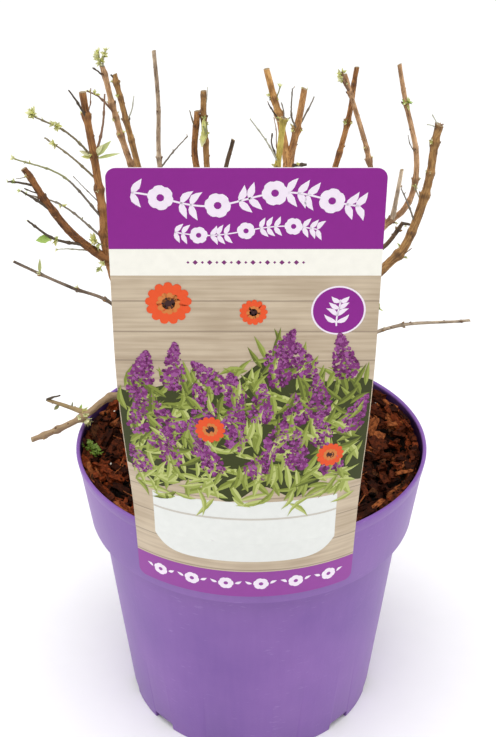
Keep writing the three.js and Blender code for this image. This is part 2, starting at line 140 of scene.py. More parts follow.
class Wire:
    """One number inside a shader, which Python arithmetic can use."""

    def __init__(self, shader: "Shader", socket: Socket) -> None:
        """Keeps the shader that the number belongs to, and the socket that gives it."""
        self.shader = shader
        self.socket = socket

    def maths(self, operation: str, first: "Wire | float", second: "Wire | float" = 0.0) -> "Wire":
        """Adds one Math node.

        Args:
            operation: The node's operation.
            first, second: Its operands.

        Returns:
            The result.
        """
        node = self.shader.node("ShaderNodeMath", {"operation": operation}, {0: first, 1: second})
        return Wire(self.shader, node.outputs[0])

    def __add__(self, other: "Wire | float") -> "Wire":
        """Adds."""
        return self.maths("ADD", self, other)

    def __sub__(self, other: "Wire | float") -> "Wire":
        """Takes away."""
        return self.maths("SUBTRACT", self, other)

    def __mul__(self, other: "Wire | float") -> "Wire":
        """Multiplies."""
        return self.maths("MULTIPLY", self, other)

    def __gt__(self, other: "Wire | float") -> "Wire":
        """Gives 1 where it is greater, and 0 elsewhere."""
        return self.maths("GREATER_THAN", self, other)


class Shader:
    """A node material, written as expressions on its own coordinates."""

    def __init__(self, name: str, roughness: float, **plain: float) -> None:
        """Starts a material.

        Args:
            name: The material's name.
            roughness: Its plain roughness.
            plain: More plain values of the surface, by socket name with _ for a space.
        """
        self.material = bpy.data.materials.new(name)
        self.material.use_nodes = True
        self.tree = self.material.node_tree
        self.surface = self.tree.nodes["Principled BSDF"]
        self.surface.inputs["Roughness"].default_value = roughness
        for socket, value in plain.items():
            self.surface.inputs[socket.replace("_", " ").title().replace("Ior", "IOR")].default_value = value
        self.place = self.node("ShaderNodeTexCoord").outputs["Object"]

    def node(self, kind: str, settings: dict | None = None, values: dict | None = None) -> bpy.types.Node:
        """Adds a node of any kind.

        Args:
            kind: The node's type name.
            settings: Its own settings; "stops" fills a ramp with (place, colour) pairs.
            values: What goes into its sockets, by name or index: a number, a colour or a link.

        Returns:
            The node.
        """
        made = self.tree.nodes.new(kind)
        for name, value in (settings or {}).items():
            if name == "stops":
                self.fill_ramp(made.color_ramp, value)
            else:
                setattr(made, name, value)
        for name, value in (values or {}).items():
            self.feed(made.inputs[name], value)
        return made

    @staticmethod
    def fill_ramp(ramp: bpy.types.ColorRamp, stops: Sequence[tuple[float, Colour]]) -> None:
        """Gives a ramp its stops."""
        while len(ramp.elements) < len(stops):
            ramp.elements.new(0.5)
        for element, (position, colour) in zip(ramp.elements, stops):
            element.position = position
            element.color = colour

    def feed(self, socket: Socket, value: object) -> None:
        """Links or sets one socket."""
        if isinstance(value, Wire):
            self.tree.links.new(value.socket, socket)
        elif isinstance(value, Socket):
            self.tree.links.new(value, socket)
        else:
            socket.default_value = value

    def stretched(self, source: Socket, scale: Point) -> Socket:
        """Returns coordinates scaled apart along their axes."""
        return self.node("ShaderNodeMapping", {}, {"Vector": source, "Scale": scale}).outputs[0]

    def attribute(self, name: str, output: str = "Vector") -> Socket:
        """Returns a value that the mesh itself carries."""
        return self.node("ShaderNodeAttribute", {"attribute_name": name}).outputs[output]

    def noise(self, scale: float, detail: float = 3.0, source: Socket | None = None) -> Wire:
        """Adds a noise.

        Args:
            scale: Its features per metre.
            detail: Its octaves.
            source: Its coordinates, the object's own where none are given.

        Returns:
            Its value.
        """
        values = {"Vector": source or self.place, "Scale": scale, "Detail": detail}
        return Wire(self, self.node("ShaderNodeTexNoise", {}, values).outputs[0])

    def drawn(self, scale: Point, detail: float, source: Socket | None = None) -> Wire:
        """Adds a noise with another number of features per metre along each axis."""
        return self.noise(1, detail, self.stretched(source or self.place, scale))

    def cells(self, scale: Point, source: Socket) -> Wire:
        """Adds a cell pattern and returns the distance to the nearest cell's middle."""
        values = {"Vector": self.stretched(source, scale), "Scale": 1}
        return Wire(self, self.node("ShaderNodeTexVoronoi", {}, values).outputs["Distance"])

    def height(self) -> Wire:
        """Returns the height above the pot's underside, in metres."""
        return Wire(self, self.node("ShaderNodeSeparateXYZ", {}, {0: self.place}).outputs["Z"])

    def radius(self) -> Wire:
        """Returns the distance from the pot's axis, in metres."""
        level = self.stretched(self.place, (1.0, 1.0, 0.0))
        return Wire(self, self.node("ShaderNodeVectorMath", {"operation": "LENGTH"}, {0: level}).outputs[1])

    def within(self, value: Wire, low: float, high: float) -> Wire:
        """Returns how far a value is from low, as 0, to high, as 1, and no further."""
        values = {"Value": value, "From Min": low, "From Max": high}
        return Wire(self, self.node("ShaderNodeMapRange", {"clamp": True}, values).outputs[0])

    def ramp(self, value: Wire, stops: Sequence[tuple[float, Colour]]) -> Socket:
        """Turns a value into a colour."""
        return self.node("ShaderNodeValToRGB", {"stops": stops}, {0: value}).outputs["Color"]

    def mix(self, share: Wire | float, first: object, second: object) -> Socket:
        """Mixes two colours.

        Args:
            share: How much of the second one shows.
            first, second: The colours, or links to them.

        Returns:
            The mixed colour.
        """
        node = self.node("ShaderNodeMix", {"data_type": "RGBA"}, {0: share, 6: first, 7: second})
        return node.outputs[2]

    def finish(
        self, colour: object, rough: Wire | None = None, relief: Wire | None = None, depth: float = 0.0
    ) -> bpy.types.Material:
        """Connects the surface.

        Args:
            colour: The base colour, or a link to it.
            rough: A roughness that changes over the surface.
            relief: A height for the bump.
            depth: The bump's depth in metres.

        Returns:
            The material.
        """
        self.feed(self.surface.inputs["Base Color"], colour)
        if rough is not None:
            self.feed(self.surface.inputs["Roughness"], rough)
        if relief is not None:
            values = {"Strength": 1.0, "Distance": depth, "Height": relief}
            self.feed(self.surface.inputs["Normal"], self.node("ShaderNodeBump", {}, values).outputs[0])
        return self.material


# --- Finishes ---------------------------------------------------------------------------


@dataclass(frozen=True)
class PotPlastic:
    """Satin violet plastic, faintly clouded, with fine rubs, and painted shade with some damp stain darkening
    the inner wall above the mulch.
    """

    name: str = "violet_plastic"
    deep: Colour = rgb(118, 77, 159)
    pale: Colour = rgb(137, 94, 172)
    rub: Colour = rgb(166, 136, 196)
    # Dark violet of painted shade, with some damp stain, for the inner wall.
    damp: Colour = rgb(43, 19, 62)
    flare: float = 0.1347
    inner: Pair = (0.0836, 0.0826)
    collar_low: float = 0.155
    rim: Pair = (0.1893, 0.1878)

    def damp_wall(self, shader: Shader) -> Wire:
        """Returns 1 on the inside of the flaring collar under its rim, where painted shade and damp stain
        darken the wall, and 0 elsewhere.
        """
        height = shader.height()
        inner = shader.within(shader.radius() - height * self.flare, *self.inner)
        return inner * (height > self.collar_low) * shader.within(height, *self.rim)

    def build(self) -> bpy.types.Material:
        """Builds the material."""
        shader = Shader(self.name, 0.42)
        clouds = shader.noise(14, 4)
        drawn = shader.drawn((260, 260, 22), 3)
        body = shader.ramp(clouds * 0.86 + drawn * 0.14, [(0.34, self.deep), (0.68, self.pale)])
        lines = shader.drawn((150, 150, 900), 2)
        rubs = shader.within(lines + shader.noise(30, 2) * 0.35, 0.86, 0.95)
        colour = shader.mix(rubs * 0.4, body, self.rub)
        # Painted shade, partly damp stain: darkens the inner wall between the mulch and the rim.
        colour = shader.mix(self.damp_wall(shader) * (clouds * 0.4 + 0.76), colour, self.damp)
        rough = clouds * 0.16 + rubs * 0.12 + 0.34
        return shader.finish(colour, rough, shader.noise(700, 2) + drawn * 0.4, 0.00006)


@dataclass(frozen=True)
class Bark:
    """Stringy shrub bark: streaks along the limb, flaking patches and a darker foot."""

    name: str
    light: Colour
    middle: Colour
    dark: Colour
    foot: Colour = rgb(66, 45, 33)

    def build(self) -> bpy.types.Material:
        """Builds the material, on the coordinates that each limb carries round and along it."""
        shader = Shader(self.name, 0.82)
        grain = shader.attribute("grain")
        joint = Wire(shader, shader.attribute("joint", "Fac"))
        streaks = shader.drawn((1400, 1400, 190), 5, grain)
        blotches = shader.drawn((380, 380, 150), 3, grain)
        colour = shader.ramp(
            streaks * 0.55 + blotches * 0.45,
            [(0.34, self.dark), (0.47, self.middle), (0.63, self.light)],
        )
        patches = shader.drawn((210, 210, 95), 2, grain)
        colour = shader.mix(shader.within(patches, 0.54, 0.66) * 0.5, colour, self.light)
        colour = shader.mix(shader.within(patches, 0.46, 0.34) * 0.45, colour, self.dark)
        pores = shader.cells((1300, 1300, 520), grain)
        pitted = shader.within(pores, 0.22, 0.1)
        colour = shader.mix(pitted * 0.55, colour, self.dark)
        colour = shader.mix(shader.within(joint, 0.5, 1.0) * 0.5, colour, self.dark)
        ground = shader.within(shader.height() + blotches * 0.05, 0.345, 0.24)
        colour = shader.mix(ground * 0.75, colour, self.foot)
        relief = streaks + blotches * 0.8 - pitted * 0.4
        return shader.finish(colour, streaks * 0.2 + 0.7, relief, 0.0007)


@dataclass(frozen=True)
class CutWood:
    """The pale, dusty face of a pruned end."""

    name: str = "cut_wood"
    rim: Colour = rgb(120, 98, 72)
    heart: Colour = rgb(176, 154, 118)

    def build(self) -> bpy.types.Material:
        """Builds the material."""
        shader = Shader(self.name, 0.85)
        grain = shader.noise(1500, 3)
        return shader.finish(shader.ramp(grain, [(0.35, self.rim), (0.6, self.heart)]), None, grain, 0.0003)


@dataclass(frozen=True)
class Mulch:
    """Damp bark or peat of one tone, mottled and fibrous."""

    name: str
    tone: Colour
    shadow: Colour
    roughness: float = 0.62

    def build(self) -> bpy.types.Material:
        """Builds the material."""
        shader = Shader(self.name, self.roughness, specular_ior_level=0.05)
        fibre = shader.noise(420, 4)
        flecks = shader.noise(1100, 2)
        colour = shader.ramp(fibre * 0.7 + flecks * 0.3, [(0.38, self.shadow), (0.6, self.tone)])
        return shader.finish(colour, fibre * 0.35 + 0.42, fibre + flecks * 0.5, 0.0009)


@dataclass(frozen=True)
class Growth:
    """One plain colour of a leaf, bud or twig, with a soft surface of its own."""

    name: str
    colour: Colour
    roughness: float = 0.6
    fine: float = 900.0

    def build(self) -> bpy.types.Material:
        """Builds the material."""
        shader = Shader(self.name, self.roughness)
        veins = shader.noise(self.fine, 2)
        return shader.finish(self.colour, veins * 0.2 + self.roughness - 0.1, veins, 0.0002)


@dataclass(frozen=True)
class Ink:
    """One printed colour of the label."""

    name: str
    colour: Colour
    roughness: float = 0.42

    def build(self) -> bpy.types.Material:
        """Builds the material, with the faint unevenness of a print."""
        shader = Shader(self.name, self.roughness, specular_ior_level=0.2)
        screen = shader.noise(240, 3)
        colour = shader.ramp(screen, [(0.3, shade(self.colour, 0.975)), (0.7, shade(self.colour, 1.015))])
        return shader.finish(colour, screen * 0.14 + self.roughness - 0.07, shader.noise(60, 2), 0.00005)


@dataclass(frozen=True)
class Boards:
    """Printed weathered boards, laid level, with dark gaps between them."""

    name: str = "print_boards"
    light: Colour = rgb(208, 190, 164)
    dark: Colour = rgb(181, 161, 135)
    gap: Colour = rgb(146, 128, 108)
    pitch: float = 0.017

    def build(self) -> bpy.types.Material:
        """Builds the material."""
        shader = Shader(self.name, 0.42)
        grain = shader.drawn((24, 24, 520), 4)
        clouds = shader.noise(40, 2)
        wood = shader.ramp(grain * 0.6 + clouds * 0.4, [(0.36, self.dark), (0.62, self.light)])
        along = shader.height() * (1 / self.pitch) + grain * 0.04
        share = along.maths("FRACT", along)
        line = share > 0.95
        return shader.finish(shader.mix(line * 0.7, wood, self.gap), None, shader.noise(60, 2), 0.00005)


@dataclass(frozen=True)
class StudioFloor:
    """The matt pale paper that the pot stands on."""

    name: str = "pale_paper"
    colour: Colour = (0.93, 0.93, 0.93, 1.0)

    def build(self) -> bpy.types.Material:
        """Builds the material."""
        shader = Shader(self.name, 0.9)
        tooth = shader.noise(60, 2)
        return shader.finish(shader.ramp(tooth, [(0.2, shade(self.colour, 0.985)), (0.8, self.colour)]))


class Finish(Enum):
    """Every finish of the bush, the pot, the mulch and the label."""

    POT = PotPlastic()
    CUT = CutWood()
    WARM = Bark("bark_warm", rgb(226, 176, 116), rgb(188, 134, 80), rgb(114, 75, 46))
    GOLD = Bark("bark_gold", rgb(236, 186, 118), rgb(198, 144, 82), rgb(124, 82, 46))
    HAZEL = Bark("bark_hazel", rgb(188, 136, 80), rgb(150, 98, 50), rgb(86, 52, 28))
    RUSSET = Bark("bark_russet", rgb(162, 108, 58), rgb(119, 74, 37), rgb(65, 40, 22))
    GREY = Bark("bark_grey", rgb(204, 172, 128), rgb(166, 132, 92), rgb(104, 78, 54))
    FAWN = Bark("bark_fawn", rgb(224, 182, 138), rgb(182, 139, 98), rgb(112, 80, 56))
    TAWNY = Bark("bark_tawny", rgb(194, 150, 92), rgb(152, 110, 62), rgb(86, 60, 34))
    ASH = Bark("bark_ash", rgb(214, 192, 162), rgb(174, 150, 124), rgb(108, 88, 70))
    BISQUE = Bark("bark_bisque", rgb(252, 232, 202), rgb(206, 184, 156), rgb(130, 114, 96))
    SLATE = Bark("bark_slate", rgb(168, 148, 126), rgb(123, 107, 91), rgb(71, 61, 52))
    DUSK = Bark("bark_dusk", rgb(150, 124, 92), rgb(110, 86, 62), rgb(64, 48, 34))
    UMBER = Bark("bark_umber", rgb(120, 94, 68), rgb(88, 68, 48), rgb(52, 42, 30))
    GREEN = Bark("bark_green", rgb(226, 208, 112), rgb(198, 178, 82), rgb(138, 118, 56))
    DRIFT = Bark("bark_drift", rgb(198, 170, 136), rgb(166, 136, 102), rgb(112, 88, 64), rgb(160, 134, 102))
    OLIVE = Bark("bark_olive", rgb(210, 182, 130), rgb(160, 136, 94), rgb(94, 78, 54), rgb(148, 126, 88))
    PEAT = Mulch("peat", rgb(20, 11, 7), rgb(7, 4, 3), 0.9)
    CHIP_DARK = Mulch("chip_dark", rgb(58, 25, 13), rgb(22, 9, 5))
    CHIP_BROWN = Mulch("chip_brown", rgb(94, 43, 22), rgb(40, 17, 8))
    CHIP_RED = Mulch("chip_red", rgb(132, 60, 29), rgb(62, 27, 12))
    CHIP_TAN = Mulch("chip_tan", rgb(168, 96, 52), rgb(92, 48, 25))
    CHIP_GREY = Mulch("chip_grey", rgb(98, 58, 34), rgb(50, 29, 16))
    PERLITE = Growth("perlite", rgb(226, 220, 206), 0.8)
    MOSS = Growth("moss", rgb(98, 124, 30))
    LEAF_SAGE = Growth("leaf_sage", rgb(190, 198, 128))
    LEAF_FRESH = Growth("leaf_fresh", rgb(162, 192, 92))
    LEAF_LIME = Growth("leaf_lime", rgb(212, 212, 130))
    LEAF_PALE = Growth("leaf_pale", rgb(230, 230, 180))
    LEAF_DUSK = Growth("leaf_dusk", rgb(124, 126, 76))
    TWIG_OLIVE = Growth("twig_olive", rgb(124, 112, 84), 0.7)
    TWIG_GREEN = Growth("twig_green", rgb(152, 152, 108), 0.7)
    TWIG_BROWN = Growth("twig_brown", rgb(132, 100, 76), 0.75)
    TWIG_GREY = Growth("twig_grey", rgb(122, 112, 98), 0.8)
    TWIG_DARK = Growth("twig_dark", rgb(84, 72, 58), 0.85)
    TWIG_PALE = Growth("twig_pale", rgb(190, 190, 170), 0.8)
    BUD_TAN = Growth("bud_tan", rgb(150, 116, 74), 0.75)
    BUD_DARK = Growth("bud_dark", rgb(104, 76, 52), 0.8)
    CARD = Ink("card_edge", rgb(236, 228, 236))
    HEADER = Ink("print_header", rgb(142, 34, 144))
    STRIP = Ink("print_strip", rgb(252, 250, 240))
    BOARDS = Boards()
    BAND = Ink("print_band", rgb(152, 70, 160))
    WHITE = Ink("print_white", rgb(248, 236, 250))
    WALL = Ink("print_wall", rgb(236, 238, 234))
    WALL_SHADE = Ink("print_wall_shade", rgb(206, 200, 190))
    ORCHID = Ink("print_orchid", rgb(196, 130, 190))
    LILAC = Ink("print_lilac", rgb(160, 86, 152))
    PURPLE = Ink("print_purple", rgb(128, 50, 118))
    VIOLET = Ink("print_violet", rgb(92, 28, 80))
    LEAF_PRINT_DEEP = Ink("print_leaf_deep", rgb(58, 64, 24))
    LEAF_PRINT_DARK = Ink("print_leaf_dark", rgb(98, 108, 42))
    LEAF_PRINT = Ink("print_leaf", rgb(130, 142, 58))
    LEAF_PRINT_LIGHT = Ink("print_leaf_light", rgb(158, 170, 84))
    LEAF_PRINT_PALE = Ink("print_leaf_pale", rgb(192, 200, 124))
    ORANGE = Ink("print_orange", rgb(238, 88, 42))
    AMBER = Ink("print_amber", rgb(216, 130, 66))
    BROWN = Ink("print_brown", rgb(64, 34, 34))

    @property
    def material(self) -> bpy.types.Material:
        """The finish's material, built when it is first asked for."""
        return bpy.data.materials.get(self.value.name) or self.value.build()


class Slot(Enum):
    """The record's material slots."""

    POT = "pot"
    LABEL = "label"
    MULCH = "bark_mulch"
    BARK = "bark"
    FRESH = "fresh_twig"
    DRY = "dry_twig"


# --- The bench: shared modelling steps --------------------------------------------------


def clear_bench() -> None:
    """Leaves nothing selected, in object mode."""
    if bpy.context.object and bpy.context.object.mode != "OBJECT":
        bpy.ops.object.mode_set(mode="OBJECT")
    bpy.ops.object.select_all(action="DESELECT")


def only(piece: Piece) -> None:
    """Makes a piece the one selected and active object."""
    clear_bench()
    piece.select_set(True)
    bpy.context.view_layer.objects.active = piece


def edit(piece: Piece, mode: str = "VERT") -> None:
    """Opens a piece in edit mode with all of it selected."""
    only(piece)
    bpy.ops.object.mode_set(mode="EDIT")
    bpy.ops.mesh.select_mode(type=mode)
    bpy.ops.mesh.select_all(action="SELECT")


def choose_faces(piece: Piece, test: Callable[[bpy.types.MeshPolygon], bool]) -> None:
    """Selects the faces of a piece that is open in edit mode, by a test.

    Args:
        piece: The piece.
        test: Says of a face whether it is wanted.
    """
    bpy.ops.mesh.select_all(action="DESELECT")
    bpy.ops.mesh.select_mode(type="FACE")
    bpy.ops.object.mode_set(mode="OBJECT")
    for face in piece.data.polygons:
        face.select = test(face)
    bpy.ops.object.mode_set(mode="EDIT")


def apply(piece: Piece, kind: str, **settings: object) -> None:
    """Adds a modifier and applies it.

    Args:
        piece: The piece.
        kind: The modifier's type.
        settings: Its settings.
    """
    only(piece)
    modifier = piece.modifiers.new(kind.lower(), kind)
    for name, value in settings.items():
        setattr(modifier, name, value)
    bpy.ops.object.modifier_apply(modifier=modifier.name)


def smooth(piece: Piece, angle: float = 40.0) -> None:
    """Shades a piece smooth, except at edges sharper than an angle in degrees."""
    only(piece)
    bpy.ops.object.shade_smooth_by_angle(angle=math.radians(angle))


def settle(piece: Piece) -> None:
    """Puts a piece's place, turn and scale into its mesh."""
    only(piece)
    bpy.ops.object.transform_apply(location=True, rotation=True, scale=True)


def mend(piece: Piece) -> None:
    """Turns every face of a closed piece outwards."""
    edit(piece)
    bpy.ops.mesh.normals_make_consistent(inside=False)
    bpy.ops.object.mode_set(mode="OBJECT")


def dress(
    piece: Piece, name: str, finishes: Sequence[Finish], nodes: Iterable[str]
) -> None:
    """Names a piece, gives it its finishes and hands it to the frame.

    Args:
        piece: The piece.
        name: Its name.
        finishes: Its materials, in slot order.
        nodes: The solids that it stands for.
    """
    piece.name = name
    piece.data.name = name
    piece.data.materials.clear()
    for finish in finishes:
        piece.data.materials.append(finish.material)
    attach(piece, BODY)
    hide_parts(*nodes)
    LOG.info("%s: %d faces", name, len(piece.data.polygons))


def read_points(piece: Piece) -> np.ndarray:
    """Returns a piece's vertices, in metres."""
    flat = np.empty(len(piece.data.vertices) * 3)
    piece.data.vertices.foreach_get("co", flat)
    return flat.reshape(-1, 3)


def write_points(piece: Piece, spots: np.ndarray) -> None:
    """Moves a piece's vertices, in metres."""
    piece.data.vertices.foreach_set("co", spots.astype(np.float32).ravel())


def drawn_up(rings: Sequence[Pair], sides: int) -> Piece:
    """Draws a round piece up from its flat underside, ring by ring.

    Args:
        rings: The radius and height of each ring, in millimetres.
        sides: How many sides it has.

    Returns:
        The piece, in edit mode, with its last ring selected.
    """
    clear_bench()
    bpy.ops.mesh.primitive_circle_add(
        vertices=sides, radius=rings[0][0] * MM, fill_type="NGON", location=(0, 0, rings[0][1] * MM)
    )
    piece = bpy.context.object
    settle(piece)
    edit(piece, "FACE")
    for (radius, z), (wider, higher) in zip(rings, rings[1:]):
        bpy.ops.mesh.extrude_region_move(TRANSFORM_OT_translate={"value": (0, 0, (higher - z) * MM)})
        ratio = wider / radius
        bpy.ops.transform.resize(value=(ratio, ratio, 1))
    return piece


def rolled_grid(
    columns: int, rows: int, place: Callable[[np.ndarray, np.ndarray], np.ndarray]
) -> Piece:
    """Adds a grid and lays its vertices where a function says.

    Args:
        columns, rows: How many quads it has each way.
        place: Takes the shares across and along, from 0 to 1, and gives the places in metres.

    Returns:
        The piece, in object mode.
    """
    clear_bench()
    bpy.ops.mesh.primitive_grid_add(x_subdivisions=columns, y_subdivisions=rows, size=2)
    piece = bpy.context.object
    shares = (read_points(piece) + 1) / 2
    write_points(piece, place(shares[:, 0], shares[:, 1]))
    piece.data.update()
    return piece


class Heap:
    """Many small things of one kind, gathered into one mesh."""

    def __init__(self) -> None:
        """Starts empty."""
        self.points: list[np.ndarray] = []
        self.faces: list[tuple[int, ...]] = []
        self.tones: list[int] = []
        self.count = 0

    def add(self, points: np.ndarray, faces: Sequence[tuple[int, ...]], tone: int = 0) -> None:
        """Adds one thing.

        Args:
            points: Its vertices, in millimetres.
            faces: Its faces, as indices of its own vertices.
            tone: Which of the heap's finishes it has.
        """
        self.faces.extend(tuple(self.count + corner for corner in face) for face in faces)
        self.tones.extend([tone] * len(faces))
        self.points.append(points)
        self.count += len(points)

    def piece(
        self, name: str, slot: Slot, finishes: Sequence[Finish], nodes: Iterable[str], soft: bool = True
    ) -> Piece:
        """Makes the joined mesh.

        Args:
            name: The piece's name.
            slot: The record's slot, not used here.
            finishes: Its materials, which the things' tones count through.
            nodes: The solids that it stands for.
            soft: Whether its faces are shaded smooth.

        Returns:
            The piece.
        """
        mesh = bpy.data.meshes.new(name)
        mesh.from_pydata((np.concatenate(self.points) * MM).tolist(), [], self.faces)
        mesh.polygons.foreach_set("use_smooth", [soft] * len(self.faces))
        piece = bpy.data.objects.new(name, mesh)
        bpy.context.scene.collection.objects.link(piece)
        dress(piece, name, finishes, nodes)
        mesh.polygons.foreach_set("material_index", self.tones)
        return piece


# --- Camera, light and floor ------------------------------------------------------------


@dataclass(frozen=True)
class Softbox:
    """One square soft light, or a far and wide one of the kind SUN, aimed at the bush."""

    name: str
    place: Point
    size: float
    energy: float
    kind: str = "AREA"

    def build(self, aim: Vector) -> None:
        """Adds the light, facing a point."""
        data = bpy.data.lights.new(self.name, self.kind)
        data.energy = self.energy
        if self.kind == "SUN":
            data.angle = math.radians(self.size)
        else:
            data.size = self.size
        lamp = bpy.data.objects.new(self.name, data)
        lamp.location = self.place
        lamp.rotation_euler = (aim - Vector(self.place)).to_track_quat("-Z", "Y").to_euler()
        bpy.context.scene.collection.objects.link(lamp)


@dataclass
class Studio:
    """A plain pale floor under soft light, seen from a little above."""

    camera_place: Point = (-0.0021, -0.64974, 0.60294)
    camera_pitch: float = 29.262
    lens: float = 59.4
    floor_size: float = 14.0
    sky: Colour = (1.0, 1.0, 1.0, 1.0)
    sky_strength: float = 0.5
    aim: Point = (0.0, 0.0, 0.2)
    lights: tuple[Softbox, ...] = (
        Softbox("softbox_left", (-1.3, 0.1, 0.7), 0.7, 4.0),
        Softbox("softbox_right", (1.3, 0.1, 0.6), 0.7, 4.0),
        Softbox("softbox_top", (-0.06, -0.45, 2.0), 50.0, 2.1, "SUN"),
    )

    def add_camera(self) -> None:
        """Adds the camera and makes it the scene's."""
        data = bpy.data.cameras.new("camera")
        data.lens = self.lens
        data.sensor_width = 36.0
        data.sensor_fit = "AUTO"
        data.clip_start = 0.01
        camera = bpy.data.objects.new("camera", data)
        camera.location = self.camera_place
        camera.rotation_euler = (math.radians(90 - self.camera_pitch), 0.0, 0.0)
        bpy.context.scene.collection.objects.link(camera)
        bpy.context.scene.camera = camera

    def add_floor(self) -> None:
        """Adds the floor, as stage."""
        clear_bench()
        bpy.ops.mesh.primitive_plane_add(size=self.floor_size)
        floor = bpy.context.object
        floor.name = "floor"
        floor.data.materials.append(StudioFloor().build())

    def build(self) -> None:
        """Builds the whole studio."""
        scene = bpy.context.scene
        scene.view_settings.view_transform = "Standard"
        world = bpy.data.worlds.new("studio")
        world.use_nodes = True
        sky = world.node_tree.nodes["Background"]
        sky.inputs["Color"].default_value = self.sky
        sky.inputs["Strength"].default_value = self.sky_strength
        scene.world = world
        for light in self.lights:
            light.build(Vector(self.aim))
        self.add_camera()
        self.add_floor()


# --- Pot --------------------------------------------------------------------------------


@dataclass
class Pot:
    """A round grower's pot with a deep collar, a rolled rim and a notched foot. Millimetres."""

    rim_radius: float = 110.0
    height: float = 190.0
    collar_foot: float = 141.0
    collar_foot_radius: float = 103.4
    body_top_radius: float = 96.8
    foot_radius: float = 82.0
    wall: float = 1.6
    rim_thick: float = 2.4
    floor: float = 3.0
    sides: int = 160
    notches: int = 12
    notch: Point = (12.0, 17.0, 12.0)
    rim_round: float = 1.15
    bead: float = 0.35

    def collar_radius(self, z: float) -> float:
        """Returns the collar's outer radius at a height."""
        share = (z - self.collar_foot) / (self.height - self.collar_foot)
        return between(self.collar_foot_radius, self.rim_radius, share)

    def profile(self) -> list[Pair]:
        """Returns the half profile, from the underside round the rim to the inner floor."""
        middle = self.rim_radius - self.rim_thick / 2
        rim = [
            (middle + self.rim_thick / 2 * math.cos(turn), self.height - self.rim_round
             + self.rim_round * math.sin(turn))
            for turn in np.linspace(0, math.pi, 9)
        ]
        under = self.height - 7.0
        return [
            (self.foot_radius - 0.9, 0.0), (self.foot_radius - 0.25, 0.35),
            (self.foot_radius, 1.2),
            (between(self.foot_radius, self.body_top_radius, 0.5), self.collar_foot / 2),
            (self.body_top_radius - 0.5, self.collar_foot - 4.0),
            (self.body_top_radius - 0.2, self.collar_foot - 0.4),
            (self.body_top_radius + 0.6, self.collar_foot),
            (self.collar_foot_radius - 0.8, self.collar_foot),
            (self.collar_foot_radius - 0.2, self.collar_foot + 0.3),
            (self.collar_foot_radius + 0.1, self.collar_foot + 1.2),
            (self.collar_radius(under - 1.0) - self.bead, under - 1.0),
            (self.collar_radius(under) - self.bead, under),
            (self.collar_radius(under + 0.7), under + 0.7),
            *rim,
            (self.rim_radius - self.rim_thick - 0.3, self.height - 5.0),
            (self.collar_foot_radius - self.wall, self.collar_foot + self.wall),
            (self.body_top_radius - self.wall, self.collar_foot + self.wall),
            (self.foot_radius - self.wall - 0.6, self.floor + 1.5),
            (self.foot_radius - self.wall - 2.0, self.floor),
        ]

    def notch_cutters(self) -> Piece:
        """Makes the blocks that cut the foot's notches, as one piece."""
        clear_bench()
        blocks = []
        for k in range(self.notches):
            turn = (k + 0.5) * 2 * math.pi / self.notches
            spot = (self.foot_radius * math.cos(turn) * MM, self.foot_radius * math.sin(turn) * MM, 0)
            bpy.ops.mesh.primitive_cube_add(size=1, location=spot, rotation=(0, 0, turn))
            block = bpy.context.object
            block.scale = [side * MM for side in self.notch]
            blocks.append(block)
        for block in blocks:
            block.select_set(True)
        bpy.ops.object.transform_apply(location=True, rotation=True, scale=True)
        bpy.ops.object.join()
        cutters = bpy.context.object
        apply(cutters, "BEVEL", width=1.6 * MM, segments=3)
        return cutters

    def build(self) -> None:
        """Draws the pot up, notches its foot and rounds its edges."""
        pot = drawn_up(self.profile(), self.sides)
        mend(pot)
        cutters = self.notch_cutters()
        apply(pot, "BOOLEAN", object=cutters, operation="DIFFERENCE", solver="EXACT")
        bpy.data.objects.remove(cutters)
        apply(pot, "BEVEL", width=0.3 * MM, segments=2, limit_method="ANGLE", angle_limit=math.radians(50))
        smooth(pot)
        dress(pot, "grower_pot", [Finish.POT], ["pot"])


# --- Bark mulch -------------------------------------------------------------------------


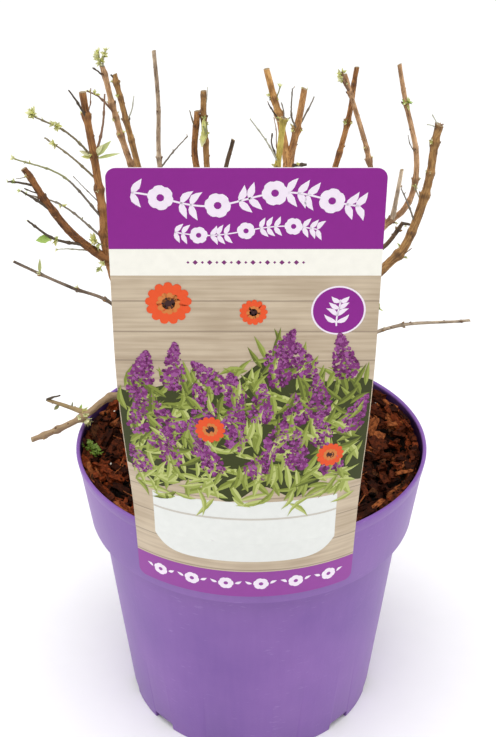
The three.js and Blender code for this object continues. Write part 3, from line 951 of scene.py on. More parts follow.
@dataclass
class MulchBed:
    """Damp peat under bark chips, with crumbs, white grit, fibres and a sprig of moss."""

    pot: Pot
    top: float = 179.0
    bank: float = 3.4
    sides: int = 96
    step: float = 4.0
    lower_rings: tuple[Pair, ...] = ((79.0, 3.4), (94.6, 142.0), (101.2, 143.2))
    ruffle: float = 0.7
    chips: int = 1050
    edge_chips: int = 150
    chip_length: Pair = (6.0, 13.0)
    chip_stretch: float = 10.0
    chip_width: Pair = (0.22, 0.44)
    chip_thick: Pair = (2.0, 4.2)
    chip_layer: Pair = (-1.0, 4.2)
    crumbs: int = 3400
    grit: int = 34
    fibres: int = 90
    label_keep_out: Pair = (25.0, -94.0)
    moss_blades: int = 90
    moss_places: tuple[Point, ...] = ((-103.0, -5.0, 186.0), (-100.0, -8.5, 185.7), (-97.0, -12.0, 185.3))

    def __post_init__(self) -> None:
        """Starts the bed's own numbers."""
        self.random = np.random.default_rng(SEED)

    def inside(self, z: float) -> float:
        """Returns the pot's inner radius at a height, less a gap."""
        return self.pot.collar_radius(z) - self.pot.rim_thick - 0.6

    def ground(self, x: np.ndarray, y: np.ndarray) -> np.ndarray:
        """Returns the bed's height at places across the pot."""
        waves = np.sin(x / 9 + 1.3) * np.cos(y / 11) + 0.6 * np.sin(x / 4.3 - y / 5.1)
        mound = 2.5 * np.exp(-(x * x + y * y) / 1200)
        bank = np.clip((np.hypot(x, y) - self.inside(self.top) + 10) / 8, 0, 1)
        return self.top + 1.2 * waves + mound + self.bank * bank

    def level(self, x: float, y: float) -> float:
        """Returns the bed's height at one place."""
        return float(self.ground(np.array(x), np.array(y)))

    def add_bed(self) -> None:
        """Fills the pot with peat, its top inset ring by ring and ruffled."""
        bed = drawn_up([*self.lower_rings, (self.inside(self.top), self.top)], self.sides)
        for _ in range(int(self.inside(self.top) / self.step) - 1):
            bpy.ops.mesh.inset(thickness=self.step * MM)
        bpy.ops.mesh.poke()
        mend(bed)
        spots = read_points(bed) / MM
        upper = spots[:, 2] > self.top - 1
        ruffle = self.random.normal(0, self.ruffle, len(spots))
        spots[upper, 2] = (self.ground(spots[:, 0], spots[:, 1]) + ruffle)[upper]
        write_points(bed, spots * MM)
        smooth(bed, 60)
        dress(bed, "peat_bed", [Finish.PEAT], ["soil"])

    def chip_shapes(self, count: int) -> list[tuple[np.ndarray, list[tuple[int, ...]]]]:
        """Models a few ragged bark chips of unit size.

        Args:
            count: How many shapes.

        Returns:
            The vertices and faces of each.
        """
        shapes = []
        for _ in range(count):
            clear_bench()
            bpy.ops.mesh.primitive_cube_add(size=1)
            chip = bpy.context.object
            edit(chip, "FACE")
            bpy.ops.mesh.subdivide(number_cuts=2)
            bpy.ops.object.mode_set(mode="OBJECT")
            points = np.array([vertex.co for vertex in chip.data.vertices])
            first, second, _ = self.random.uniform(0, 6.3, 3)
            taper = 1 - 0.35 * np.abs(points[:, :1]) * self.random.uniform(0.4, 1.6)
            points[:, 1:] *= taper
            points[:, 2] += 0.16 * np.sin(points[:, 0] * 4 + first) + 0.12 * points[:, 1] * points[:, 0]
            points[:, 1] += 0.14 * np.sin(points[:, 0] * 5 + second)
            points += self.random.normal(0, 0.055, points.shape)
            shapes.append((points, [tuple(face.vertices) for face in chip.data.polygons]))
            bpy.data.objects.remove(chip)
        return shapes

    def spot(self, k: int, count: int, margin: float) -> Pair:
        """Returns the k-th of many even places across the bed."""
        reach = (self.inside(self.top) - margin) * math.sqrt((k + 0.5) / count)
        turn = k * GOLDEN_TURN + self.random.uniform(-0.2, 0.2)
        return reach * math.cos(turn), reach * math.sin(turn)

    def in_tongue(self, x: float, y: float) -> bool:
        """Says whether a place is where the label's tongue goes down."""
        half, front = self.label_keep_out
        return abs(x) < half and y < front

    def add_chips(self) -> None:
        """Strews the bark chips, each tone as one piece."""
        tones = [
            ("bark_chips_dark", Finish.CHIP_DARK, 0.3),
            ("bark_chips_brown", Finish.CHIP_BROWN, 0.3),
            ("bark_chips_red", Finish.CHIP_RED, 0.22),
            ("bark_chips_tan", Finish.CHIP_TAN, 0.12),
            ("bark_chips_grey", Finish.CHIP_GREY, 0.06),
        ]
        shapes = self.chip_shapes(9)
        heaps = [Heap() for _ in tones]
        shares = np.cumsum([share for _, _, share in tones])
        for k in range(self.chips + self.edge_chips):
            length = self.random.uniform(*self.chip_length) + self.chip_stretch * self.random.random() ** 3
            width = length * self.random.uniform(*self.chip_width)
            thick = self.random.uniform(*self.chip_thick)
            x, y = self.spot(k % self.chips, self.chips, 3)
            if k >= self.chips:
                turn = k * 2 * math.pi / self.edge_chips
                reach = self.inside(self.top) - width * 0.55
                x, y = reach * math.cos(turn), reach * math.sin(turn)
            room = self.inside(self.top) - math.hypot(x, y)
            if self.in_tongue(x, y) or room < width * 0.5:
                continue
            edge = math.atan2(y, x) + math.pi / 2 + self.random.normal(0, 0.12)
            angle = edge if room < length / 2 + 1 else self.random.uniform(0, math.pi * 2)
            turned = Matrix.Rotation(angle, 3, "Z")
            tip = Matrix.Rotation(self.random.normal(0, 0.34 if room > 12 else 0.12), 3, "Y")
            roll = Matrix.Rotation(self.random.normal(0, 0.6), 3, "X")
            points, faces = shapes[k % len(shapes)]
            laid = (points * [length, width, thick]) @ np.array(turned @ tip @ roll).T
            layer = self.random.uniform(*self.chip_layer)
            z = self.level(x, y) + layer
            tone = int(np.searchsorted(shares, self.random.random()))
            heaps[min(tone, len(tones) - 1)].add(laid + [x, y, z], faces)
        for (name, finish, _), heap in zip(tones, heaps):
            piece = heap.piece(name, Slot.MULCH, [finish], ["soil"])
            smooth(piece, 35)

    def add_crumbs(self) -> None:
        """Strews the fine crumbs and the white grit between the chips."""
        corners = np.array([[1, 0, 0], [-1, 0, 0], [0, 1, 0], [0, -1, 0], [0, 0, 1], [0, 0, -1]], float)
        sides = [(0, 2, 4), (2, 1, 4), (1, 3, 4), (3, 0, 4), (2, 0, 5), (1, 2, 5), (3, 1, 5), (0, 3, 5)]
        kinds = [
            ("peat_crumbs", Finish.PEAT, self.crumbs, (0.5, 1.7), (0.2, 3.8)),
            ("white_grit", Finish.PERLITE, self.grit, (0.5, 1.1), (2.6, 5.2)),
        ]
        for name, finish, count, sizes, layers in kinds:
            heap = Heap()
            for k in range(count):
                x, y = self.spot(k, count, 2)
                ragged = corners * self.random.uniform(0.6, 1.2, (6, 1)) + self.random.normal(0, 0.14, (6, 3))
                size = self.random.uniform(*sizes)
                z = self.level(x, y) + self.random.uniform(*layers)
                heap.add(ragged * size + [x, y, z], sides)
            heap.piece(name, Slot.MULCH, [finish], ["soil"], soft=False)

    def add_fibres(self) -> None:
        """Lays thin curved splinters over the chips."""
        heap = Heap()
        for k in range(self.fibres):
            x, y = self.spot(k, self.fibres, 14)
            turn = self.random.uniform(0, math.pi * 2)
            along = np.array([math.cos(turn), math.sin(turn), self.random.normal(0, 0.12)])
            across = np.cross(UP, along)
            length = self.random.uniform(7, 18)
            z = self.level(x, y) + self.random.uniform(3.0, 5.0)
            bow = self.random.uniform(-0.18, 0.18)
            spine = [
                np.array([x, y, z]) + along * length * share
                + across * length * bow * math.sin(share * math.pi)
                for share in np.linspace(-0.5, 0.5, 6)
            ]
            rod(heap, np.array(spine), np.linspace(0.55, 0.3, 6), 4)
        heap.piece("bark_splinters", Slot.MULCH, [Finish.CHIP_TAN], ["soil"])

    def add_moss(self) -> None:
        """Plants the moss sprigs by the pot's left wall."""
        heap = Heap()
        for place in self.moss_places:
            for _ in range(self.moss_blades):
                turn = self.random.uniform(0, math.pi * 2)
                lift = self.random.uniform(0.5, 1.5)
                direction = unit(np.array([math.cos(turn), math.sin(turn), lift]))
                root = np.array(place) + self.random.normal(0, 1.7, 3) * [0.8, 1.1, 0.3]
                blade(heap, root, direction, UP, self.random.uniform(1.6, 3.4), 0.55, 0.25)
        heap.piece("moss_sprigs", Slot.FRESH, [Finish.MOSS], ["soil"])

    def build(self) -> None:
        """Builds the bed and all that lies on it."""
        self.add_bed()
        self.add_chips()
        self.add_crumbs()
        self.add_fibres()
        self.add_moss()


# --- Small growths ----------------------------------------------------------------------


def rod(heap: Heap, spine: np.ndarray, radii: np.ndarray, sides: int, tone: int = 0) -> None:
    """Adds a thin closed rod along a line of points.

    Args:
        heap: Where it goes.
        spine: The points, in millimetres.
        radii: Its radius at each point.
        sides: How many sides it has.
        tone: Its finish in the heap.
    """
    count = len(spine)
    tangents = np.gradient(spine, axis=0)
    side = unit(np.cross(UP + [0.01, 0.02, 0], tangents[0]))
    cosines, sines = around(sides).T
    rings = []
    for point, tangent, radius in zip(spine, tangents, radii):
        along = unit(tangent)
        side = unit(side - along * float(side @ along))
        other = np.cross(along, side)
        rings.append(point + radius * (np.outer(cosines, side) + np.outer(sines, other)))
    faces = [
        (k * sides + i, k * sides + (i + 1) % sides, (k + 1) * sides + (i + 1) % sides, (k + 1) * sides + i)
        for k in range(count - 1)
        for i in range(sides)
    ]
    faces.append(tuple(reversed(range(sides))))
    faces.append(tuple((count - 1) * sides + i for i in range(sides)))
    heap.add(np.concatenate(rings), faces, tone)


BLADE_STATIONS = ((0.0, 0.07), (0.16, 0.6), (0.4, 1.0), (0.68, 0.74), (0.88, 0.3), (1.0, 0.0))


def blade(
    heap: Heap, root: np.ndarray, direction: np.ndarray, toward: np.ndarray, length: float,
    width: float, curl: float, tone: int = 0,
) -> None:
    """Adds one lance leaf, folded a little along its rib and curling back at its tip.

    Args:
        heap: Where it goes.
        root: Where it springs from, in millimetres.
        direction: Where it points.
        toward: What its upper face turns to.
        length: Its length in millimetres.
        width: Its full width as a share of its length.
        curl: How far its tip bends, as a share of its length.
        tone: Its finish in the heap.
    """
    across = unit(np.cross(np.asarray(toward), direction))
    up = np.cross(direction, across)
    points = []
    for share, wide in BLADE_STATIONS:
        rib = root + direction * length * share * (1 - 0.15 * abs(curl) * share)
        rib = rib - up * length * curl * share * share
        half = across * length * width * wide / 2
        lift = up * length * width * wide * 0.16
        points.extend([rib - half + lift, rib, rib + half + lift] if wide > 0 else [rib])
    last = len(points) - 1
    faces: list[tuple[int, ...]] = []
    for k in range(len(BLADE_STATIONS) - 2):
        base = 3 * k
        faces += [(base, base + 3, base + 4, base + 1), (base + 1, base + 4, base + 5, base + 2)]
    faces += [(last - 3, last, last - 2), (last - 2, last, last - 1)]
    heap.add(np.array(points), faces, tone)


def bud(
    heap: Heap, root: np.ndarray, direction: np.ndarray, length: float, width: float, tone: int = 0
) -> None:
    """Adds a pointed bud of a few faces.

    Args:
        heap: Where it goes.
        root: Where it sits, in millimetres.
        direction: Where it points.
        length: Its length.
        width: Its full width.
        tone: Its finish in the heap.
    """
    shares = np.array([-0.15, 0.2, 0.55, 0.85, 1.0])
    spine = root + np.outer(shares * length, direction)
    rod(heap, spine, np.array([0.25, 0.5, 0.45, 0.22, 0.05]) * width, 6, tone)


# --- Limbs ------------------------------------------------------------------------------


class Route:
    """A smooth centripetal curve through points, read by its length as the part's source reads it."""

    STEPS = 200
    NUDGE = 0.0001

    def __init__(self, points: Sequence[Sequence[float]]) -> None:
        """Works out the curve's length.

        Args:
            points: The points that it goes through, in millimetres.
        """
        self.points = np.array(points, float)
        self.params = np.linspace(0, 1, self.STEPS + 1)
        spots = self.raw(self.params)
        steps = np.linalg.norm(np.diff(spots, axis=0), axis=1)
        self.run = np.concatenate([[0.0], np.cumsum(steps)])
        self.length = float(self.run[-1])

    def raw(self, params: np.ndarray) -> np.ndarray:
        """Returns the points at even parameters from 0 to 1."""
        points = self.points
        last = len(points) - 1
        padded = np.vstack([2 * points[0] - points[1], points, 2 * points[-1] - points[-2]])
        place = np.clip(params, 0, 1) * last
        first = np.minimum(place.astype(int), last - 1)
        share = (place - first)[:, None]
        before, start, end, after = (padded[first + k] for k in range(4))
        into, span, beyond = (
            np.sqrt(np.linalg.norm(q - p, axis=1))[:, None]
            for p, q in ((before, start), (start, end), (end, after))
        )
        leave = (start - before) / into - (end - before) / (into + span) + (end - start) / span
        arrive = (end - start) / span - (after - start) / (span + beyond) + (after - end) / beyond
        leave, arrive = leave * span, arrive * span
        square, cube = share * share, share * share * share
        return (
            start
            + leave * share
            + (-3 * start + 3 * end - 2 * leave - arrive) * square
            + (2 * start - 2 * end + leave + arrive) * cube
        )

    def param(self, share: np.ndarray | float) -> np.ndarray:
        """Turns shares of the length into parameters."""
        return np.interp(np.atleast_1d(share) * self.length, self.run, self.params)

    def at(self, share: float) -> np.ndarray:
        """Returns the point a share of the way along."""
        return self.raw(self.param(share))[0]

    def many(self, shares: np.ndarray) -> np.ndarray:
        """Returns the points at many shares of the way along."""
        return self.raw(self.param(shares))

    def tangent(self, share: float) -> np.ndarray:
        """Returns the direction a share of the way along."""
        param = float(self.param(share)[0])
        low, high = max(param - self.NUDGE, 0.0), min(param + self.NUDGE, 1.0)
        ends = self.raw(np.array([low, high]))
        return unit(ends[1] - ends[0])

    def share_at(self, height: float) -> float:
        """Returns the share of the way at a height, looked for from the tip."""
        above = float(np.sign(self.at(1.0)[2] - height)) or 1.0
        for k in range(self.STEPS, -1, -1):
            if (self.at(k / self.STEPS)[2] - height) * above <= 0:
                return k / self.STEPS
        return 0.5

    def at_height(self, height: float) -> np.ndarray:
        """Returns the point at a height, looked for from the tip."""
        return self.at(self.share_at(height))

    def frames(self, shares: np.ndarray) -> tuple[np.ndarray, np.ndarray]:
        """Returns sides and other sides along the curve, carried without twist."""
        side = unit(np.cross(self.tangent(0.0), [0.31, 0.92, 0.1]))
        sides, others = [], []
        for share in shares:
            along = self.tangent(float(share))
            side = unit(side - along * float(side @ along))
            sides.append(side)
            others.append(np.cross(along, side))
        return np.array(sides), np.array(others)


@dataclass(frozen=True)
class Limb:
    """One tapering limb: its points, tip and radii, what carries it, and its joints' heights."""

    name: str
    bows: tuple[Point, ...]
    tip: Point
    radii: Pair
    finish: Finish = Finish.WARM
    on: str = ""
    at: float = 0.0
    start: float = 0.0
    forks: bool = False
    nodes: tuple[float, ...] = ()
    knob: float = 1.0
    bend: float = 1.0


# A limb's place in this table starts the numbers of its bark and kinks.
LIMBS = (
    Limb("stem_centre", ((12, 7, 270), (20, 10, 340)), (21, 10, 373), (4.5, 3.2), Finish.GOLD, forks=True),
    Limb("stem_left", ((-56, 0, 238), (-77, 0, 287), (-84.4, 0, 318), (-85, 0, 345)), (-92, 0, 411),
         (3.4, 1.9), Finish.HAZEL, nodes=(398, 375, 355, 345, 329), knob=1.6),
    Limb("stem_right", ((48, -1, 268), (79, -1, 309), (88, 0, 319), (97, 0, 345)), (103, 0, 393),
         (3.5, 2.1), Finish.TAWNY, nodes=(392.6, 383, 365.5, 352, 330, 316), knob=1.2),
    Limb("stem_left_back", ((-46, 34, 285), (-74, 45, 360)), (-86, 45, 413), (2.8, 1.5), Finish.FAWN,
         nodes=(409, 391, 383, 372), knob=1.5, bend=0.5),
    Limb("stem_right_mid", ((56, 24, 288), (80, 27, 322), (90.5, 28, 331.5), (97, 30, 351)), (83, 30, 418),
         (2.7, 1.2), Finish.FAWN, nodes=(396.4, 369, 349.5, 337, 325), knob=1.1),
    Limb("stem_right_back", ((33, 36, 290), (58, 50, 381)), (61, 50, 411), (2.8, 1.4), Finish.HAZEL,
         nodes=(378.5, 401), knob=1.4),
    Limb("stem_back", ((-17, 36, 270), (-27, 50, 345)), (-28, 50, 397), (2.8, 1.6), Finish.TAWNY,
         nodes=(395.5, 381.6, 367)),
    Limb("stem_front_left", ((-28, -46, 270), (-45, -66, 330)), (-52, -76, 374), (3.2, 1.8)),
    Limb("stem_front_right", ((26, -44, 275), (38, -64, 335)), (44, -74, 378), (3.2, 1.8), Finish.HAZEL),
    Limb("stem_low_left", ((-52, 22, 197), (-88, 21, 207), (-107, 8, 199)), (-137, -9, 193), (3.2, 1.6),
         Finish.DRIFT, start=-7, nodes=(194.2, 195.7, 198.6), knob=2.0),
    Limb("bough_centre_left", ((15, 10, 395),), (8, 10, 421), (2.2, 1.6), Finish.GOLD, on="stem_centre",
         at=366, nodes=(405, 395.7), knob=1.7),
    Limb("bough_centre_right", ((26, 10, 390),), (29, 10, 410), (2.2, 1.6), Finish.WARM, on="stem_centre",
         at=366, nodes=(387,), knob=1.7),
    Limb("bough_centre_front", ((11, -14, 330),), (17, -20, 403), (2, 1.6), Finish.GREEN, on="stem_centre",
         at=262, nodes=(401, 376), knob=1.2),
    Limb("bough_left_outer", ((-104, -9, 334),), (-126, -10, 371), (2.5, 1.8), Finish.RUSSET,
         on="stem_left", at=311, nodes=(366.5, 354.4, 345.4, 318.4), knob=0.6, bend=0.7),
    Limb("bough_left_low", ((-84, 10, 278), (-108, 10, 289)), (-141, 10, 306), (1.2, 0.8), Finish.SLATE,
         on="stem_left", at=232, nodes=(298, 287.3, 280.6), knob=1.5, bend=0.5),
    Limb("bough_left_inner", ((-67, 36, 356),), (-78, 35, 411), (2.1, 1.5), Finish.TAWNY,
         on="stem_left_back", at=320, nodes=(406, 398, 384, 371.6), bend=0.5),
    Limb("bough_left_slim", ((-56, 60, 345), (-55.5, 60, 386)), (-57, 60, 418), (1.8, 1.1), Finish.ASH,
         on="stem_left_back", at=270),
    Limb("bough_back_twin", ((-34, 51, 355),), (-32, 50, 385), (2.1, 1.8), Finish.HAZEL, on="stem_back",
         at=325, nodes=(375.8, 344), knob=0.5, bend=0.2),
    Limb("bough_back_stub", ((-17, 56, 340),), (-11, 60, 364), (1.6, 1.2), Finish.UMBER, on="stem_back",
         at=285, bend=0.3),
    Limb("bough_right_cross", ((67, 36, 368),), (53, 35, 411), (1.7, 1.2), Finish.FAWN, on="stem_right_mid",
         at=322, nodes=(400.4, 367, 360), knob=1.6),
    Limb("bough_right_stub", (), (86.5, 17, 360.5), (1.4, 1.0), Finish.BISQUE, on="stem_right_mid", at=326),
    Limb("bough_right_dark_stub", ((79, 13, 315),), (88, 10, 330.5), (1.4, 1.1), Finish.UMBER,
         on="stem_right_mid", at=298, nodes=(326,), knob=0.6),
    Limb("bough_right_low", ((78, 20, 254),), (135, 20, 262), (1.4, 0.8), Finish.BISQUE, on="stem_right",
         at=222, nodes=(261.3, 257.8, 255), bend=0.4),
    Limb("bough_low_upper", ((-119, 18, 201.4),), (-131, 22, 203.4), (1.6, 1.0), Finish.OLIVE,
         on="stem_low_left", at=200, bend=0.3),
    Limb("bough_front_middle", ((-10, -66, 300),), (-4, -86, 352), (2.2, 1.4), on="stem_front_left", at=255),
    Limb("bough_front_far_right", ((52, -56, 305),), (62, -62, 352), (2.2, 1.4), Finish.GREY,
         on="stem_front_right", at=268),
    Limb("bough_back_right", ((34, 66, 290),), (42, 88, 328), (2.2, 1.4), on="stem_right_back", at=262),
    Limb("bough_back_left", ((-30, 64, 285),), (-44, 86, 326), (2.2, 1.4), Finish.GREY, on="stem_back",
         at=250),
)


@dataclass
class Skeleton:
    """The woody crown and its limbs, with bark relief. Millimetres."""

    crown_radius: float = 21.0
    crown_height: float = 27.0
    crown_foot: float = 179.3
    crown_lobes: int = 5
    stem_circle: float = 9.0
    stem_start: float = 12.0
    internode: float = 30.0
    swell: float = 0.3
    joint_half: float = 2.3
    knob_reach: float = 90.0
    fork_round: float = 7.0
    kink: float = 0.55
    sides: int = 22
    ring_step: float = 1.0
    routes: dict[str, Route] = field(default_factory=dict)

    def crown_start(self, limb: Limb) -> np.ndarray:
        """Returns where a stem starts inside the crown, on the side that it leans to."""
        lean = np.array([*limb.bows[0][:2], 0.0])
        circle = min(self.stem_circle, float(np.linalg.norm(lean)) / 3)
        return unit(lean) * circle + UP * (self.crown_foot + self.stem_start + limb.start)

    def lay_routes(self) -> None:
        """Works out every limb's route."""
        for limb in LIMBS:
            start = self.routes[limb.on].at_height(limb.at) if limb.on else self.crown_start(limb)
            self.routes[limb.name] = Route([start, *limb.bows, limb.tip])

    def joints(self, limb: Limb) -> np.ndarray:
        """Returns the distances of a limb's swollen leaf joints along it."""
        route = self.routes[limb.name]
        named = np.sort([route.share_at(height) * route.length for height in limb.nodes])
        low = named[0] if limb.nodes else route.length
        even = np.arange(self.internode, low - self.internode / 2, self.internode)
        return np.concatenate([even, named])

    def spine(self, limb: Limb, shares: np.ndarray) -> np.ndarray:
        """Returns the middle of a limb at shares of its length, bent a little at each joint."""
        route = self.routes[limb.name]
        random = np.random.default_rng(SEED + 50 + LIMBS.index(limb))
        marks = np.concatenate([[0.0], self.joints(limb), [route.length]])
        aside = random.uniform(-self.kink, self.kink, (3, len(marks))) * limb.bend
        aside[:, [0, -1]] = 0
        run = np.atleast_1d(shares) * route.length
        kinks = np.stack([np.interp(run, marks, row) for row in aside], axis=1)
        return route.many(shares) + kinks

    def nearness(self, limb: Limb, run: np.ndarray) -> np.ndarray:
        """Returns how near places along a limb are to a joint, from 0 to 1 at its middle."""
        offsets = np.abs(run[:, None] - self.joints(limb)[None, :])
        return np.exp(-((offsets / self.joint_half) ** 2)).sum(axis=1)

    def relief(self, limb: Limb, column: np.ndarray, run: np.ndarray) -> np.ndarray:
        """Returns the bark's radius over a limb.

        Args:
            limb: The limb.
            column: Which of its sides each place is on.
            run: Each place's distance along it.

        Returns:
            The radius with joints, leaf scars, ridges, lumps and flakes.
        """
        random = np.random.default_rng(SEED + LIMBS.index(limb))
        length = self.routes[limb.name].length
        taper = between(limb.radii[0], limb.radii[1], run / length)
        turn = column % self.sides * 2 * math.pi / self.sides
        grown = np.ones_like(run)
        for k, joint in enumerate(self.joints(limb)):
            scar = 0.68 + 0.32 * np.cos(2 * (turn - k * math.pi / 2))
            size = self.swell * (limb.knob if length - joint < self.knob_reach else 1.0)
            grown += size * np.exp(-(((run - joint) / self.joint_half) ** 2)) * scar
            grown -= 0.05 * np.exp(-(((run - joint - 3.4) / 1.6) ** 2))
        if limb.on:
            grown += 0.45 * np.exp(-run / 5.0)
        for count in (2, 3, 5, 7, 9):
            wave = random.uniform(0, 6.3, 2)
            fade = 0.55 + 0.45 * np.sin(run / random.uniform(3, 9) + wave[0])
            drift = random.uniform(-0.06, 0.06)
            grown += random.uniform(0.02, 0.045) * np.sin(count * turn + wave[1] + drift * run) * fade
        flake = np.sin(turn * 2 + run / 5 + random.uniform(0, 6)) * np.sin(run / 3.1 + 3 * turn)
        rough = random.normal(0, 0.022, (int(run.max() / self.ring_step) + 3, self.sides))
        grown += rough[np.rint(run / self.ring_step).astype(int), column % self.sides]
        grown = grown * taper + 0.2 * np.clip(flake - 0.3, 0, 1)
        if limb.forks:
            grown *= np.sqrt(np.clip((length - run) / self.fork_round, 0.02, 1))
        return grown

    def add_limb(self, limb: Limb) -> None:
        """Rolls one limb from a grid, closes it and dresses its cut end.

        Args:
            limb: The limb.
        """
        route = self.routes[limb.name]
        rows = int(route.length / self.ring_step)
        sides, others = route.frames(np.linspace(0, 1, rows + 1))
        points = self.spine(limb, np.linspace(0, 1, rows + 1))
        slant = 0.35 * math.sin(route.length)
        grain: list[np.ndarray] = []

        def place(across: np.ndarray, along: np.ndarray) -> np.ndarray:
            """Lays the grid round the route."""
            row = np.rint(along * rows).astype(int)
            column = np.rint(across * self.sides).astype(int)
            turn = column % self.sides * 2 * math.pi / self.sides
            run = along * route.length
            radius = self.relief(limb, column, run)
            out = np.cos(turn)[:, None] * sides[row] + np.sin(turn)[:, None] * others[row]
            cut = np.where(row == rows, slant * radius * np.cos(turn), 0)
            grain.extend([radius * np.cos(turn), radius * np.sin(turn), run, self.nearness(limb, run)])
            return (points[row] + out * radius[:, None] + cut[:, None] * route.tangent(1.0)) * MM

        piece = rolled_grid(self.sides, rows, place)
        shift = LIMBS.index(limb) * 37
        vectors = piece.data.attributes.new("grain", "FLOAT_VECTOR", "POINT")
        vectors.data.foreach_set("vector", ((np.stack(grain[:3], axis=1) + shift) * MM).ravel())
        piece.data.attributes.new("joint", "FLOAT", "POINT").data.foreach_set("value", grain[3])
        edit(piece)
        bpy.ops.mesh.remove_doubles(threshold=1e-6)
        bpy.ops.mesh.fill_holes(sides=0)
        tip, reach = Vector(limb.tip) * MM, limb.radii[1] * MM
        if not limb.forks:
            choose_faces(
                piece, lambda face: len(face.vertices) > 4 and (face.center - tip).length < 2 * reach
            )
            bpy.ops.mesh.inset(thickness=reach * 0.2)
            bpy.ops.mesh.inset(thickness=reach * 0.5, depth=-reach * 0.12)
        bpy.ops.object.mode_set(mode="OBJECT")
        mend(piece)
        smooth(piece, 45)
        dress(piece, f"bark_{limb.name}", [limb.finish, Finish.CUT], [limb.name])
        end = Vector(route.tangent(1.0))
        for face in piece.data.polygons:
            if not limb.forks and (face.center - tip).length < 1.25 * reach and face.normal.dot(end) > 0.6:
                face.material_index = 1

    def add_crown(self) -> None:
        """Models the lumpy stool that the stems spring from."""
        clear_bench()
        bpy.ops.mesh.primitive_uv_sphere_add(segments=72, ring_count=40, radius=1)
        crown = bpy.context.object
        spots = read_points(crown)
        turn = np.arctan2(spots[:, 1], spots[:, 0])
        lift = (spots[:, 2] + 1) / 2
        lobes = 1 + 0.13 * np.cos(self.crown_lobes * turn) * (1 - lift)
        knots = 0.06 * np.sin(7 * turn + 5 * lift) + 0.05 * np.sin(13 * turn - 9 * lift)
        flare = np.interp(lift, [0, 0.02, 0.2, 0.5, 0.8, 1], [0, 1, 0.95, 0.8, 0.62, 0])
        radius = self.crown_radius * flare * (lobes + knots)
        height = self.crown_foot + self.crown_height * np.interp(lift, [0, 0.02, 1], [0, 0, 1])
        spots = np.stack([radius * np.cos(turn), radius * np.sin(turn), height], axis=1)
        write_points(crown, spots * MM)
        grain = crown.data.attributes.new("grain", "FLOAT_VECTOR", "POINT")
        grain.data.foreach_set("vector", (spots * MM).astype(np.float32).ravel())
        smooth(crown, 50)
        dress(crown, "bark_root_crown", [Finish.DUSK], ["root_crown"])

    def build(self) -> None:
        """Builds the crown and every limb."""
        self.lay_routes()
        self.add_crown()
        for limb in LIMBS:
            self.add_limb(limb)


# --- Twigs and leaves -------------------------------------------------------------------


class Leaf(Enum):
    """The leaf colours, as their place among a heap's finishes."""

    SAGE = 0
    FRESH = 1
    LIME = 2
    PALE = 3
    DUSK = 4


SAGE, FRESH, LIME, PALE, DUSK = Leaf
LEAF_FINISHES = [Finish[f"LEAF_{leaf.name}"] for leaf in Leaf]


class Twig(Enum):
    """The twig colours, as their place among a heap's finishes."""

    OLIVE = 0
    GREEN = 1
    BROWN = 2
    GREY = 3
    DARK = 4
    PALE = 5


TWIG_FINISHES = [Finish[f"TWIG_{twig.name}"] for twig in Twig]


class Bud(Enum):
    """The bud colours, as their place among a heap's finishes."""

    YOUNG = 0
    TAN = 1
    DARK = 2


BUD_FINISHES = [Finish.LEAF_LIME, Finish.BUD_TAN, Finish.BUD_DARK]


@dataclass(frozen=True)
class Spray:
    """One twig mass: the limb and height that it springs from, its bow and tip, and its looks."""

    name: str
    on: str
    at: float
    bow: Point
    tip: Point
    leaf: Leaf = SAGE
    lush: float = 1.0
    twig: Twig = Twig.OLIVE
    thick: float = 1.0
    foot: Twig | None = None


# A mass's place in its table starts its numbers, as in the part's source.
LEAFY_SPRAYS = (
    Spray("spray_left_top", "stem_left", 374, (-101, -8, 391), (-117, -17, 403), LIME, 0.4),
    Spray("spray_left_upper", "stem_left", 361, (-103, 9, 372), (-118, 19, 379), LIME, 0.25),
    Spray("spray_left_middle", "stem_left", 337, (-104, -16, 369), (-126, -31, 384), PALE, 0.35, Twig.GREEN,
          foot=Twig.GREY),
    Spray("spray_left_back", "stem_left", 325, (-112, 20, 338), (-134, 29, 341), SAGE, 0.35, Twig.GREY),
    Spray("spray_left_cross", "stem_left_back", 385, (-88, 38, 397), (-94, 33, 402), LIME, 0.4, Twig.BROWN),
    Spray("spray_left_shoot", "stem_left", 374, (-83.5, 9, 388), (-82, 17, 405), PALE, 0.2, Twig.BROWN,
          1.15),
    Spray("spray_left_crest", "stem_left_back", 412, (-85, 45, 417), (-83, 44, 422.6), PALE, 0.5,
          Twig.PALE),
    Spray("spray_outer_tip", "bough_left_outer", 361, (-129, -13, 364), (-134, -17, 366), SAGE, 0.4,
          Twig.DARK, 1.1),
    Spray("spray_outer_low", "bough_left_outer", 323, (-111, -19, 333), (-123, -29, 348), DUSK, 0.25,
          Twig.DARK, 1.35),
    Spray("spray_centre_front", "bough_centre_front", 377, (8, -24, 391), (-1, -31, 406), PALE, 0.2,
          Twig.PALE, 0.72),
    Spray("spray_centre_right", "bough_centre_right", 386, (31, 14, 396), (35, 18, 403), DUSK, 0.15,
          Twig.GREY, 0.85),
    Spray("spray_right_cross", "bough_right_cross", 401, (52, 32, 408), (51, 30, 414), LIME, 0.4,
          Twig.BROWN, 1.5),
    Spray("spray_front_left", "stem_front_left", 345, (-60, -70, 356), (-64, -66, 372)),
    Spray("spray_front_middle", "bough_front_middle", 322, (4, -84, 332), (14, -90, 344), FRESH),
    Spray("spray_front_right", "stem_front_right", 342, (30, -72, 352), (22, -78, 366), PALE),
    Spray("spray_front_low", "bough_front_far_right", 300, (60, -70, 308), (66, -84, 322)),
    Spray("spray_back_left", "bough_back_left", 300, (-48, 72, 312), (-62, 78, 324), FRESH),
    Spray("spray_back_right", "bough_back_right", 302, (50, 74, 312), (64, 80, 322)),
)
